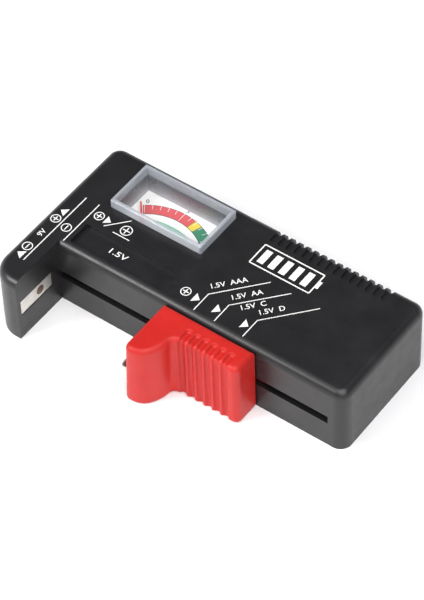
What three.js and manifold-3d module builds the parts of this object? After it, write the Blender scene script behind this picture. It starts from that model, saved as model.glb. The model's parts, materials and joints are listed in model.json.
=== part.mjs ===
// Analogue battery tester: a moulded case with a side arm, a sliding contact carriage that runs
// in a slot in the front wall, and a moving-coil meter behind a clear lens.
// Working coordinates (mm): x from the outer face of the arm, y from the front wall towards the
// back, z up from the underside. The whole group is shifted at the end so that its origin is the
// middle of the underside of its bounding box.
import * as THREE from "three";
import { mergeVertices } from "three/addons/utils/BufferGeometryUtils.js";
import Module from "manifold-3d";

const wasm = await Module();
wasm.setup();

// ---- driving dimensions (mm) ----
const CASE_LENGTH = 110;
const CASE_DEPTH = 41.26;
const CASE_HEIGHT = 24.25;
const ARM_WIDTH = 9.85;
const ARM_REACH = 19.32;
const WALL = 1.6;
const EDGE_FILLET = 2.7;
const CORNER_RADIUS = 3.8;
const ARM_TIP_RADIUS = 7.9;
const FIT_GAP = 0.15;
const MOVING_GAP = 0.3;
const CUT_OVERRUN = 1;

const SLOT = { x0: ARM_WIDTH, x1: 104.4, z0: 9.4, z1: 12.3 };
const WINDOW = { x0: 13.9, x1: 46.5, y0: 20, y1: 37.5 };
const LENS_PROUD = 2.75;
const POCKET = { x0: 12.6, x1: 45, y0: 2.7, y1: 10.7, depth: 1.3 };
const POCKET_TAB = { x0: 45, x1: 47.8, y0: 4.8, y1: 8.7 };
const GRIP_GROOVE = { count: 15, firstX: 60.3, pitch: 2.73, width: 1.8, depth: 0.6, startY: 35.3, drop: 4 };

const COVER_THICKNESS = 2.4;
const COVER_SCREWS = {
  rear_left: [6, 35.2],
  rear_right: [104, 35.2],
  front_right: [103.6, 12],
  arm: [ARM_WIDTH / 2, -13.8],
};
const SCREW = {
  headRadius: 2.1,
  headHeight: 1.1,
  shankRadius: 1,
  length: 8,
  recess: 0.2,
  driveWidth: 0.6,
  driveDepth: 0.5,
};
const BOSS_RADIUS = 2.6;

const GRIP = {
  x0: 47.5,
  x1: 80,
  back: -0.3,
  front: -9,
  nose: -19.3,
  noseRadius: 2.2,
  tailRadius: 1.6,
  z0: 0.25,
  z1: 23.95,
  lean: 1.2,
  fillet: 1.4,
};
const RIB_GROOVE = { count: 6, firstX: 60.9, pitch: 2.94, radius: 1.05, depth: 0.8, topReach: -4.6 };
const NECK = { x0: 53, x1: 77, z0: SLOT.z0 + MOVING_GAP, z1: SLOT.z1 - MOVING_GAP };
const CARRIAGE = { x0: 50.4, x1: 80.6, y0: WALL + MOVING_GAP, y1: 5.2, z0: 5.6, z1: 15.4 };
const CARRIAGE_SCREW_X = [58, 72];
const STRAP_X = 50.6;
const LEAF_SLOT = { depth: 2.2, y0: -17.95, y1: -16.95, z0: 5.1, z1: 12 };
// The sprung contact leaf stands proud of the grip's left side and bows out towards a cell. Its tip is
// folded back into a slot in the grip.
const LEAF = {
  x: 46.95,
  rootY: -3.4,
  rootEndY: -1.6,
  kneeY: -8,
  bowStart: [46.15, -11.6],
  bowPeak: [45.5, -14.5],
  bowEnd: [46, -17],
  fold: [46.4, -17.45],
  tip: [47.9, -17.45],
  thickness: 0.4,
  z0: 5.4,
  z1: 11.7,
  rootRise: 1.6,
  rivetRadius: 0.95,
};

const PIVOT = { x: 30, y: 14 };
const NEEDLE_ANGLE = THREE.MathUtils.degToRad(38.8);
const NEEDLE_LENGTH = 20.9;
const NEEDLE_Z = 18.9;
const DIAL_TOP = 18;
const METER = { x0: 12.3, x1: 47.6, y0: 6.2, y1: 39.3, z0: 3.6, z1: 19.3, wall: 1 };
const METER_RIB_X = [20, 38];
const LENS = { radius: 0.5, wall: 1.1, chamfer: 0.3, pane: 1.2, skirtZ: 19.6, flangeZ: 21.4 };
const RING = { inner: 5.8, outer: 6.6, z0: 6.4, z1: 14.2 };
const CORE = { radius: 4.1, z0: 6.9, z1: 13.7 };
const COIL = { inner: 4.45, outer: 5.25, thickness: 1.5, z0: 5.5, z1: 15.1 };

const NINE_VOLT_SPACING = 12.7;
const NINE_VOLT_MID_Y = 0.6;
const CONTACT_Z = 11.8;
const FIXED_PLATE = { y0: -17.6, y1: -3.6, z0: 9.1, z1: 14.5, recess: 0.7, thickness: 0.45, rivetY: -8.8 };
const TERMINAL = { z: 9, minusY: 20, plusY: 28 };
const LOAD_RESISTOR = { x: 5.4, y: 21.5, z: 8, radius: 2.3, length: 12 };
const NINE_VOLT_RESISTOR = { x: 5.4, y: 21.5, z: 15.6, radius: 1.7, length: 9 };
const WIRE_RADIUS = 0.5;
const BUS_BAR = { x0: 11.6, x1: 106.6, y0: 2.2, y1: 4.8, z0: 17.6, z1: 18.2 };

// ---- materials ----
const plastic = (color, roughness) => new THREE.MeshStandardMaterial({ color, roughness, metalness: 0 });
const metal = (color, roughness) => new THREE.MeshStandardMaterial({ color, roughness, metalness: 1 });
const MATERIALS = {
  blackPlastic: plastic(0x29282b, 0.62),
  redPlastic: plastic(0xd8322b, 0.42),
  whitePlastic: plastic(0xe8e6df, 0.55),
  dialCard: plastic(0xf6f4ee, 0.8),
  clearLens: new THREE.MeshStandardMaterial({
    color: 0xf2f6f6,
    roughness: 0.05,
    transparent: true,
    opacity: 0.3,
  }),
  needleRed: plastic(0xc9241f, 0.5),
  nickel: metal(0xc9c7c0, 0.3),
  brass: metal(0xc9a24f, 0.35),
  steel: metal(0x9a9a9c, 0.35),
  softIron: metal(0x6f7073, 0.5),
  magnet: metal(0x4b4c50, 0.45),
  copper: metal(0xb8663a, 0.35),
  blackWire: plastic(0x1c1c1e, 0.5),
  redWire: plastic(0xb62a24, 0.5),
  resistorBody: plastic(0xcdb88c, 0.6),
};

// ---- solids ----
function toSolid(geometry) {
  const bare = geometry.clone();
  bare.deleteAttribute("normal");
  bare.deleteAttribute("uv");
  const merged = mergeVertices(bare, 1e-4);
  return new wasm.Manifold(
    new wasm.Mesh({
      numProp: 3,
      vertProperties: new Float32Array(merged.attributes.position.array),
      triVerts: new Uint32Array(merged.index.array),
    }),
  );
}

function toGeometry(solid) {
  const mesh = solid.getMesh();
  const geometry = new THREE.BufferGeometry();
  geometry.setAttribute("position", new THREE.BufferAttribute(mesh.vertProperties, 3));
  geometry.setIndex(new THREE.BufferAttribute(mesh.triVerts, 1));
  geometry.computeVertexNormals();
  return geometry;
}

const joined = (...solids) => solids.reduce((whole, next) => whole.add(next));
const cutBy = (solid, ...cutters) => cutters.reduce((whole, cutter) => whole.subtract(cutter), solid);

function block(x0, x1, y0, y1, z0, z1) {
  const geometry = new THREE.BoxGeometry(x1 - x0, y1 - y0, z1 - z0);
  geometry.translate((x0 + x1) / 2, (y0 + y1) / 2, (z0 + z1) / 2);
  return toSolid(geometry);
}

// The outline as a polygon, without the doubled points where its arcs meet its lines.
function outline(shape, curveSegments) {
  const points = shape.getPoints(curveSegments);
  const apart = (a, b) => a.distanceTo(b) > 1e-3;
  return new THREE.Shape(points.filter((p, i) => apart(p, points[(i + 1) % points.length])));
}

function prism(shape, z0, z1, curveSegments = 6) {
  const geometry = new THREE.ExtrudeGeometry(outline(shape, curveSegments), {
    depth: z1 - z0,
    bevelEnabled: false,
  });
  geometry.translate(0, 0, z0);
  return toSolid(geometry);
}

// A prism whose top and bottom edges are rounded by a quarter circle of the given radius.
function roundedPrism(shape, z0, z1, radius, bevelSegments, curveSegments) {
  const geometry = new THREE.ExtrudeGeometry(outline(shape, curveSegments), {
    depth: z1 - z0 - 2 * radius,
    bevelEnabled: true,
    bevelThickness: radius,
    bevelSize: radius,
    bevelOffset: -radius,
    bevelSegments,
  });
  geometry.translate(0, 0, z0 + radius);
  return geometry;
}

// A profile drawn in (-y, z), extruded along x from x0 by the given width.
function prismAlongX(profile, x0, width, curveSegments) {
  const geometry = new THREE.ExtrudeGeometry(outline(profile, curveSegments), {
    depth: width,
    bevelEnabled: false,
  });
  geometry.rotateX(Math.PI / 2);
  geometry.rotateZ(-Math.PI / 2);
  geometry.translate(x0, 0, 0);
  return toSolid(geometry);
}

// A cylinder from one end to the other along "x", "y" or "z", centred on the other two coordinates.
function rod(axis, centre, radius, from, to, segments = 20) {
  const geometry = new THREE.CylinderGeometry(radius, radius, to - from, segments);
  const middle = (from + to) / 2;
  if (axis === "x") {
    geometry.rotateZ(Math.PI / 2);
    geometry.translate(middle, centre[0], centre[1]);
  } else if (axis === "y") {
    geometry.translate(centre[0], middle, centre[1]);
  } else {
    geometry.rotateX(Math.PI / 2);
    geometry.translate(centre[0], centre[1], middle);
  }
  return toSolid(geometry);
}

function ring(centre, inner, outer, z0, z1, segments = 40) {
  return cutBy(
    rod("z", centre, outer, z0, z1, segments),
    rod("z", centre, inner, z0 - CUT_OVERRUN, z1 + CUT_OVERRUN, segments),
  );
}

function roundedRectangle({ x0, x1, y0, y1 }, radius) {
  const shape = new THREE.Shape();
  shape.moveTo(x0 + radius, y0);
  shape.lineTo(x1 - radius, y0);
  shape.absarc(x1 - radius, y0 + radius, radius, -Math.PI / 2, 0);
  shape.lineTo(x1, y1 - radius);
  shape.absarc(x1 - radius, y1 - radius, radius, 0, Math.PI / 2);
  shape.lineTo(x0 + radius, y1);
  shape.absarc(x0 + radius, y1 - radius, radius, Math.PI / 2, Math.PI);
  shape.lineTo(x0, y0 + radius);
  shape.absarc(x0 + radius, y0 + radius, radius, Math.PI, 1.5 * Math.PI);
  return shape;
}

// A thin strip of constant thickness along a plan polyline, standing between two heights.
function strip(points, thickness, z0, z1) {
  const middle = points.map(([x, y]) => new THREE.Vector2(x, y));
  const half = thickness / 2;
  const normalAt = (i) => {
    const before = middle[Math.max(i - 1, 0)];
    const after = middle[Math.min(i + 1, middle.length - 1)];
    const along = after.clone().sub(before).normalize();
    return new THREE.Vector2(-along.y, along.x).multiplyScalar(half);
  };
  const left = middle.map((p, i) => p.clone().add(normalAt(i)));
  const right = middle.map((p, i) => p.clone().sub(normalAt(i))).reverse();
  return prism(new THREE.Shape([...left, ...right]), z0, z1);
}

// A round wire along a smooth route.
function wire(points, radius) {
  const places = points.map((p) => new THREE.Vector3(...p));
  const route = new THREE.CatmullRomCurve3(places, false, "centripetal");
  const section = new THREE.Shape();
  section.absarc(0, 0, radius, 0, 2 * Math.PI);
  const steps = 4 * (points.length - 1);
  const geometry = new THREE.ExtrudeGeometry(section, {
    steps,
    bevelEnabled: false,
    extrudePath: route,
    curveSegments: 8,
  });
  return toSolid(geometry);
}

// ---- case ----
// The plan outline of the case, set in from its outer faces by the given amount.
function caseOutline(inset) {
  const tip = ARM_TIP_RADIUS - inset;
  const corner = CORNER_RADIUS - inset;
  const left = inset;
  const right = CASE_LENGTH - inset;
  const front = inset;
  const back = CASE_DEPTH - inset;
  const armFront = inset - ARM_REACH;
  const armInner = ARM_WIDTH - inset;
  const shape = new THREE.Shape();
  shape.moveTo(left + tip, armFront);
  shape.lineTo(armInner, armFront);
  shape.lineTo(armInner, front);
  shape.lineTo(right - corner, front);
  shape.absarc(right - corner, front + corner, corner, -Math.PI / 2, 0);
  shape.lineTo(right, back - corner);
  shape.absarc(right - corner, back - corner, corner, 0, Math.PI / 2);
  shape.lineTo(left + corner, back);
  shape.absarc(left + corner, back - corner, corner, Math.PI / 2, Math.PI);
  shape.lineTo(left, armFront + tip);
  shape.absarc(left + tip, armFront + tip, tip, Math.PI, 1.5 * Math.PI);
  return shape;
}

function bodyOutline() {
  const shape = new THREE.Shape();
  const right = CASE_LENGTH - CORNER_RADIUS;
  const back = CASE_DEPTH - CORNER_RADIUS;
  shape.moveTo(0, 0);
  shape.lineTo(right, 0);
  shape.absarc(right, CORNER_RADIUS, CORNER_RADIUS, -Math.PI / 2, 0);
  shape.absarc(right, back, CORNER_RADIUS, 0, Math.PI / 2);
  shape.absarc(CORNER_RADIUS, back, CORNER_RADIUS, Math.PI / 2, Math.PI);
  return shape;
}

// The arm's blank is wider than the arm, so that trimming it leaves the inner top edge square.
function armOutline() {
  const shape = new THREE.Shape();
  const root = CORNER_RADIUS + EDGE_FILLET;
  const tip = ARM_TIP_RADIUS;
  shape.moveTo(2 * ARM_WIDTH, -ARM_REACH);
  shape.lineTo(2 * ARM_WIDTH, root);
  shape.lineTo(0, root);
  shape.absarc(tip, tip - ARM_REACH, tip, Math.PI, 1.5 * Math.PI);
  return shape;
}

function caseBlank() {
  const below = -2 * EDGE_FILLET;
  const body = toSolid(roundedPrism(bodyOutline(), below, CASE_HEIGHT, EDGE_FILLET, 6, 7));
  const arm = toSolid(roundedPrism(armOutline(), below, CASE_HEIGHT, EDGE_FILLET, 6, 7));
  const spare = block(ARM_WIDTH, 3 * ARM_WIDTH, -2 * ARM_REACH, ARM_REACH, 2 * below, 2 * CASE_HEIGHT);
  const underside = block(-1, CASE_LENGTH + 1, -ARM_REACH - 1, CASE_DEPTH + 1, 2 * below, 0);
  return cutBy(joined(body, cutBy(arm, spare)), underside);
}

// One grip groove follows the back top edge of the case at a constant depth.
function gripGroove(index) {
  const inner = EDGE_FILLET - GRIP_GROOVE.depth;
  const bend = CASE_DEPTH - EDGE_FILLET;
  const top = CASE_HEIGHT + CUT_OVERRUN;
  const profile = new THREE.Shape();
  profile.moveTo(-GRIP_GROOVE.startY, top);
  profile.lineTo(-GRIP_GROOVE.startY, CASE_HEIGHT - GRIP_GROOVE.depth);
  profile.lineTo(-bend, CASE_HEIGHT - GRIP_GROOVE.depth);
  profile.absarc(-bend, CASE_HEIGHT - EDGE_FILLET, inner, Math.PI / 2, Math.PI);
  profile.lineTo(-bend - inner, CASE_HEIGHT - EDGE_FILLET - GRIP_GROOVE.drop);
  profile.lineTo(-CASE_DEPTH - CUT_OVERRUN, CASE_HEIGHT - EDGE_FILLET - GRIP_GROOVE.drop);
  profile.lineTo(-CASE_DEPTH - CUT_OVERRUN, top);
  const x = GRIP_GROOVE.firstX + index * GRIP_GROOVE.pitch;
  return prismAlongX(profile, x - GRIP_GROOVE.width / 2, GRIP_GROOVE.width, 4);
}

function screwBoss([x, y]) {
  return rod("z", [x, y], BOSS_RADIUS, COVER_THICKNESS + 0.2, CASE_HEIGHT - WALL / 2, 18);
}

function pocketPan() {
  const bottom = CASE_HEIGHT - POCKET.depth - WALL;
  const top = CASE_HEIGHT - WALL / 2;
  return block(POCKET.x0 - WALL, POCKET_TAB.x1 + WALL, WALL / 2, POCKET.y1 + WALL, bottom, top);
}

function busBarPost(x) {
  return block(x - WALL, x + WALL, WALL / 2, BUS_BAR.y1, BUS_BAR.z1 + 0.1, CASE_HEIGHT - WALL / 2);
}

function upperCase() {
  const ceiling = CASE_HEIGHT - WALL;
  const hollow = prism(caseOutline(WALL), -CUT_OVERRUN, ceiling);
  const shell = cutBy(caseBlank(), hollow);
  const bosses = Object.values(COVER_SCREWS).map(screwBoss);
  const posts = [BUS_BAR.x0 + WALL, BUS_BAR.x1 - WALL].map(busBarPost);
  const pocketFloor = CASE_HEIGHT - POCKET.depth;
  const above = CASE_HEIGHT + CUT_OVERRUN;
  const lensHole = roundedRectangle(
    {
      x0: WINDOW.x0 - FIT_GAP, x1: WINDOW.x1 + FIT_GAP,
      y0: WINDOW.y0 - FIT_GAP, y1: WINDOW.y1 + FIT_GAP,
    },
    0.8,
  );
  const grooves = Array.from({ length: GRIP_GROOVE.count }, (_, index) => gripGroove(index));
  const pilots = Object.values(COVER_SCREWS).map((at) =>
    rod("z", at, SCREW.shankRadius + FIT_GAP, 0, SCREW.length + CUT_OVERRUN, 14),
  );
  const contactSeats = nineVoltPositions().map((y) => nineVoltSeat(y));
  return cutBy(
    joined(shell, pocketPan(), ...bosses, ...posts),
    prism(lensHole, ceiling - CUT_OVERRUN, above),
    prism(roundedRectangle(POCKET, 0.8), pocketFloor, above),
    block(POCKET_TAB.x0 - 1, POCKET_TAB.x1, POCKET_TAB.y0, POCKET_TAB.y1, pocketFloor, above),
    block(SLOT.x0, SLOT.x1, -CUT_OVERRUN, WALL + 0.05, SLOT.z0, SLOT.z1),
    fixedPlateSeat(),
    ...contactSeats,
    ...grooves,
    ...pilots,
  );
}

function baseCover() {
  const plate = prism(caseOutline(WALL + 0.25), 0, COVER_THICKNESS);
  const [ribFront, ribBack] = [METER.y0 + 4, METER.y1 - 4];
  const ribs = METER_RIB_X.map((x) =>
    block(x, x + 1.5, ribFront, ribBack, COVER_THICKNESS - 1, METER.z0 - 0.1),
  );
  const counterbores = Object.values(COVER_SCREWS).map((at) =>
    rod("z", at, SCREW.headRadius + FIT_GAP, -CUT_OVERRUN, SCREW.recess + SCREW.headHeight + 0.05, 20),
  );
  const holes = Object.values(COVER_SCREWS).map((at) =>
    rod("z", at, SCREW.shankRadius + FIT_GAP, 0, COVER_THICKNESS + CUT_OVERRUN, 14),
  );
  return cutBy(joined(plate, ...ribs), ...counterbores, ...holes);
}

// A pan-head screw along +z, head downwards, with crossed drive slots.
function coverScrew([x, y]) {
  const top = SCREW.recess + SCREW.headHeight;
  const head = rod("z", [x, y], SCREW.headRadius, SCREW.recess, top, 20);
  const shank = rod("z", [x, y], SCREW.shankRadius, top - 0.1, SCREW.length, 14);
  const half = SCREW.driveWidth / 2;
  const reach = SCREW.headRadius * 0.6;
  const drive = SCREW.recess + SCREW.driveDepth;
  const across = block(x - reach, x + reach, y - half, y + half, 0, drive);
  const along = block(x - half, x + half, y - reach, y + reach, 0, drive);
  return cutBy(joined(head, shank), across, along);
}

// ---- fixed contact on the arm ----
function fixedPlateSeat() {
  const { y0, y1, z0, z1, recess, rivetY } = FIXED_PLATE;
  const floor = ARM_WIDTH - recess;
  const mouth = ARM_WIDTH + CUT_OVERRUN;
  const seat = block(floor, mouth, y0 - FIT_GAP, y1 + FIT_GAP, z0 - FIT_GAP, z1 + FIT_GAP);
  const hole = rod("x", [rivetY, CONTACT_Z], 1 + FIT_GAP, ARM_WIDTH - 2 * WALL, ARM_WIDTH, 16);
  return joined(seat, hole);
}

function fixedContactPlate() {
  const { y0, y1, z0, z1, recess, thickness, rivetY } = FIXED_PLATE;
  const back = ARM_WIDTH - recess + 0.05;
  const plate = block(back, back + thickness, y0, y1, z0, z1);
  return cutBy(plate, rod("x", [rivetY, CONTACT_Z], 1 + FIT_GAP, back - 1, back + 1, 16));
}

function fixedContactRivet() {
  const { recess, thickness, rivetY } = FIXED_PLATE;
  const face = ARM_WIDTH - recess + thickness + 0.08;
  const inner = ARM_WIDTH - WALL - 0.5;
  const profile = [
    [0, inner - 0.4], [1.7, inner - 0.4], [1.7, inner + 0.2], [1, inner + 0.2],
    [1, face], [1.6, face], [1.3, face + 0.14], [0, face + 0.16],
  ].map(([r, along]) => new THREE.Vector2(r, along));
  const geometry = new THREE.LatheGeometry(profile, 18);
  geometry.rotateZ(-Math.PI / 2);
  geometry.translate(0, rivetY, CONTACT_Z);
  return toSolid(geometry);
}

// ---- nine volt contacts on the left end ----
function nineVoltPositions() {
  return [-1, 1].map((side) => NINE_VOLT_MID_Y + (side * NINE_VOLT_SPACING) / 2);
}

function nineVoltSeat(y) {
  return joined(
    rod("x", [y, CONTACT_Z], 4 + FIT_GAP, -CUT_OVERRUN, 0.9, 24),
    rod("x", [y, CONTACT_Z], 1.2 + FIT_GAP, 0, 2 * WALL, 14),
  );
}

function nineVoltContact(y) {
  return joined(
    rod("x", [y, CONTACT_Z], 4, 0.3, 0.8, 28),
    rod("x", [y, CONTACT_Z], 1.2, 0.7, 3.4, 14),
  );
}

// ---- slider ----
function gripOutline() {
  const shape = new THREE.Shape();
  const { noseRadius, tailRadius } = GRIP;
  const noseX = GRIP.x0 + noseRadius;
  shape.moveTo(GRIP.x0, GRIP.back);
  shape.lineTo(GRIP.x0, GRIP.nose + noseRadius);
  shape.absarc(noseX, GRIP.nose + noseRadius, noseRadius, Math.PI, 1.5 * Math.PI);
  shape.quadraticCurveTo(noseX + 3.2, GRIP.nose, noseX + 4.9, GRIP.nose + 1.8);
  shape.quadraticCurveTo(noseX + 7.3, GRIP.nose + 4.6, noseX + 7.7, GRIP.front - 2.4);
  shape.quadraticCurveTo(noseX + 7.8, GRIP.front - 0.1, noseX + 10.7, GRIP.front);
  shape.absarc(GRIP.x1 - tailRadius, GRIP.front + tailRadius, tailRadius, -Math.PI / 2, 0);
  shape.lineTo(GRIP.x1, GRIP.back);
  return shape;
}

// The left side of the grip leans to the right towards the top.
function leanGrip(geometry) {
  const position = geometry.attributes.position;
  for (let i = 0; i < position.count; i += 1) {
    const share = (GRIP.x1 - position.getX(i)) / (GRIP.x1 - GRIP.x0);
    const rise = (position.getZ(i) - GRIP.z0) / (GRIP.z1 - GRIP.z0);
    position.setX(i, position.getX(i) + GRIP.lean * share * rise);
  }
  return geometry;
}

function ribGroove(index) {
  const x = RIB_GROOVE.firstX + index * RIB_GROOVE.pitch;
  const offset = RIB_GROOVE.radius - RIB_GROOVE.depth;
  const y = GRIP.front - offset;
  const z = GRIP.z1 + offset;
  const { radius } = RIB_GROOVE;
  return joined(
    rod("z", [x, y], radius, GRIP.z0 - CUT_OVERRUN, z, 12),
    rod("y", [x, z], radius, y, RIB_GROOVE.topReach, 12),
  );
}

function sliderGrip() {
  const geometry = roundedPrism(gripOutline(), GRIP.z0, GRIP.z1, GRIP.fillet, 4, 6);
  const body = toSolid(leanGrip(geometry));
  const neck = block(NECK.x0, NECK.x1, GRIP.back - 1, CARRIAGE.y0 - 0.05, NECK.z0, NECK.z1);
  const grooves = Array.from({ length: RIB_GROOVE.count }, (_, index) => ribGroove(index));
  const middle = (NECK.z0 + NECK.z1) / 2;
  const pilots = CARRIAGE_SCREW_X.map((x) => rod("y", [x, middle], 0.75, -5, CARRIAGE.y1, 12));
  const strapChannel = block(STRAP_X - 1, STRAP_X + 1, -4, CUT_OVERRUN, NECK.z0 - 0.6, NECK.z1 + 0.6);
  const rivetHole = rod("x", [LEAF.rootY, CONTACT_Z], LEAF.rivetRadius, GRIP.x0 - 1, STRAP_X, 14);
  const { depth, y0, y1, z0, z1 } = LEAF_SLOT;
  const leafSlot = block(GRIP.x0 - 1, GRIP.x0 + depth, y0, y1, z0, z1);
  return cutBy(joined(body, neck), ...grooves, ...pilots, strapChannel, rivetHole, leafSlot);
}

function sliderCarriage() {
  const plate = prism(
    roundedRectangle({ x0: CARRIAGE.x0, x1: CARRIAGE.x1, y0: CARRIAGE.z0, y1: CARRIAGE.z1 }, 1),
    CARRIAGE.y0,
    CARRIAGE.y1,
    4,
  );
  const upright = plate.rotate([90, 0, 0]).mirror([0, 1, 0]);
  const middle = (NECK.z0 + NECK.z1) / 2;
  const bores = CARRIAGE_SCREW_X.map((x) => rod("y", [x, middle], 0.95, 0, CARRIAGE.y1 + 1, 12));
  const seat = CARRIAGE.y1 - 1.1;
  const counterbores = CARRIAGE_SCREW_X.map((x) =>
    rod("y", [x, middle], 1.8, seat, CARRIAGE.y1 + CUT_OVERRUN, 16),
  );
  return cutBy(upright, ...bores, ...counterbores);
}

function carriageScrew(x) {
  const middle = (NECK.z0 + NECK.z1) / 2;
  const seat = CARRIAGE.y1 - 1;
  const head = rod("y", [x, middle], 1.6, seat, CARRIAGE.y1 - 0.15, 16);
  const shank = rod("y", [x, middle], 0.65, -4.5, seat + 0.1, 12);
  const drive = block(x - 1, x + 1, CARRIAGE.y1 - 0.55, CARRIAGE.y1, middle - 0.2, middle + 0.2);
  return cutBy(joined(head, shank), drive);
}

function contactLeaf() {
  const [start, peak, end] = [LEAF.bowStart, LEAF.bowPeak, LEAF.bowEnd].map((p) => new THREE.Vector2(...p));
  const bow = new THREE.QuadraticBezierCurve(start, peak, end).getPoints(8).map((p) => [p.x, p.y]);
  const flat = [[LEAF.x, LEAF.rootEndY], [LEAF.x, LEAF.rootY - 1.2], [LEAF.x - 0.4, LEAF.kneeY]];
  const leaf = strip([...flat, ...bow, LEAF.fold, LEAF.tip], LEAF.thickness, LEAF.z0, LEAF.z1 + LEAF.rootRise);
  const top = LEAF.z1 + 2 * LEAF.rootRise;
  const trim = block(LEAF.x - 5, LEAF.x + 5, -ARM_REACH, LEAF.kneeY + 1.8, LEAF.z1, top);
  const hole = rod("x", [LEAF.rootY, CONTACT_Z], LEAF.rivetRadius, LEAF.x - 5, LEAF.x + 3, 14);
  return cutBy(leaf, trim, hole);
}

function contactRivet() {
  const face = LEAF.x - LEAF.thickness / 2 - 0.16;
  return joined(
    rod("x", [LEAF.rootY, CONTACT_Z], 1.4, face - 0.4, face, 16),
    rod("x", [LEAF.rootY, CONTACT_Z], 0.8, face - 0.1, STRAP_X - 0.4, 12),
  );
}

// A brass strap carries the leaf's current through the slot to the carriage.
function contactStrap() {
  return strip([[STRAP_X, -3.6], [STRAP_X, CARRIAGE.y0 - 0.4]], 0.4, NECK.z0 + 0.1, NECK.z1 - 0.1);
}

function wiper() {
  const x0 = CARRIAGE.x0 + 3;
  const base = block(x0, x0 + 9, 2.4, 4.6, CARRIAGE.z1 + 0.1, CARRIAGE.z1 + 0.5);
  const arm = new THREE.Shape();
  arm.moveTo(x0, CARRIAGE.z1 + 0.15);
  arm.lineTo(x0 + 0.6, CARRIAGE.z1 + 0.15);
  arm.quadraticCurveTo(x0 + 4, BUS_BAR.z0 + 0.2, x0 + 8, CARRIAGE.z1 + 1.1);
  arm.lineTo(x0 + 8, CARRIAGE.z1 + 1.5);
  arm.quadraticCurveTo(x0 + 3.8, BUS_BAR.z0 + 0.6, x0, CARRIAGE.z1 + 0.5);
  const spring = prism(arm, -4.4, -2.6).rotate([90, 0, 0]);
  return joined(base, spring);
}

// ---- meter ----
function meterLens() {
  const { chamfer, wall, skirtZ } = LENS;
  const top = CASE_HEIGHT + LENS_PROUD;
  const geometry = roundedPrism(roundedRectangle(WINDOW, LENS.radius), skirtZ, top, chamfer, 3, 4);
  const hollow = roundedRectangle(
    { x0: WINDOW.x0 + wall, x1: WINDOW.x1 - wall, y0: WINDOW.y0 + wall, y1: WINDOW.y1 - wall },
    0.5,
  );
  const flangeTop = CASE_HEIGHT - WALL - 0.1;
  const flange = block(METER.x0, METER.x1, WINDOW.y0 - 1, METER.y1, LENS.flangeZ, flangeTop);
  const lower = block(0, CASE_LENGTH, 0, CASE_DEPTH, skirtZ - 1, skirtZ + chamfer);
  return cutBy(joined(toSolid(geometry), flange), lower, prism(hollow, skirtZ - 1, top - LENS.pane));
}

function meterBody() {
  const { x0, x1, y0, y1, z0, z1, wall } = METER;
  const inside = block(x0 + wall, x1 - wall, y0 + wall, y1 - wall, z0 + wall, z1 + 1);
  const ledgeTop = DIAL_TOP - 0.75;
  const ledges = [
    block(x0 + wall / 2, x0 + 2.2, y1 - 12, y1 - wall / 2, z0 + wall / 2, ledgeTop),
    block(x1 - 2.2, x1 - wall / 2, y1 - 12, y1 - wall / 2, z0 + wall / 2, ledgeTop),
  ];
  const lowerSeat = rod("z", [PIVOT.x, PIVOT.y], 1.4 + FIT_GAP, z0 - 1, z0 + wall + 1, 16);
  return cutBy(joined(cutBy(block(x0, x1, y0, y1, z0, z1), inside), ...ledges), lowerSeat);
}

function dialPlate() {
  const { x0, x1, y1, wall } = METER;
  const gap = 0.1;
  const front = PIVOT.y + 4.4;
  return block(x0 + wall + gap, x1 - wall - gap, front, y1 - wall - gap, DIAL_TOP - 0.6, DIAL_TOP);
}

function yokeRing() {
  return ring([PIVOT.x, PIVOT.y], RING.inner, RING.outer, RING.z0, RING.z1);
}

function coreMagnet() {
  return rod("z", [PIVOT.x, PIVOT.y], CORE.radius, CORE.z0, CORE.z1, 32);
}

// Two brass lugs carry the core magnet from the yoke through the sector that the coil never enters.
function coreLug(side) {
  const { x, y } = PIVOT;
  const z = (CORE.z0 + CORE.z1) / 2;
  const inner = y + side * (CORE.radius + 0.1);
  const outer = y + side * (RING.inner - 0.15);
  return block(x - 1, x + 1, Math.min(inner, outer), Math.max(inner, outer), z - 1.6, z + 1.6);
}

function turned(solid, angle) {
  return solid
    .translate([-PIVOT.x, -PIVOT.y, 0])
    .rotate([0, 0, THREE.MathUtils.radToDeg(angle)])
    .translate([PIVOT.x, PIVOT.y, 0]);
}

// The coil is a rectangular loop round the core, across the pointer's direction at mid-scale.
function movingCoil() {
  const { x, y } = PIVOT;
  const half = COIL.thickness / 2;
  const outer = block(x - COIL.outer, x + COIL.outer, y - half, y + half, COIL.z0, COIL.z1);
  const hole = block(x - COIL.inner, x + COIL.inner, y - 2, y + 2, COIL.z0 + 0.7, COIL.z1 - 0.7);
  return turned(cutBy(outer, hole), NEEDLE_ANGLE);
}

function upperSpindle() {
  return rod("z", [PIVOT.x, PIVOT.y], 0.4, COIL.z1 + 0.02, 20.1, 12);
}

function lowerSpindle() {
  return rod("z", [PIVOT.x, PIVOT.y], 0.4, METER.z0 + 0.9, COIL.z0 - 0.02, 12);
}

// The pointer: a tapering blade, a hub and a short tail, turned to its zero position.
function pointer() {
  const { x, y } = PIVOT;
  const blade = new THREE.Shape();
  blade.moveTo(x - 0.45, y);
  blade.lineTo(x + 0.45, y);
  blade.lineTo(x + 0.22, y + NEEDLE_LENGTH);
  blade.lineTo(x - 0.22, y + NEEDLE_LENGTH);
  const tail = block(x - 0.45, x + 0.45, y - 4.2, y, NEEDLE_Z - 0.15, NEEDLE_Z + 0.15);
  const hub = rod("z", [x, y], 1.3, NEEDLE_Z - 0.4, NEEDLE_Z + 0.4, 18);
  const bore = rod("z", [x, y], 0.45, NEEDLE_Z - 2, NEEDLE_Z + 2, 12);
  const whole = joined(prism(blade, NEEDLE_Z - 0.15, NEEDLE_Z + 0.15), tail, hub);
  return turned(cutBy(whole, bore), NEEDLE_ANGLE);
}

function counterweight() {
  const { x, y } = PIVOT;
  return turned(block(x - 1, x + 1, y - 4.6, y - 2.6, NEEDLE_Z - 0.9, NEEDLE_Z - 0.18), NEEDLE_ANGLE);
}

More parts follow.
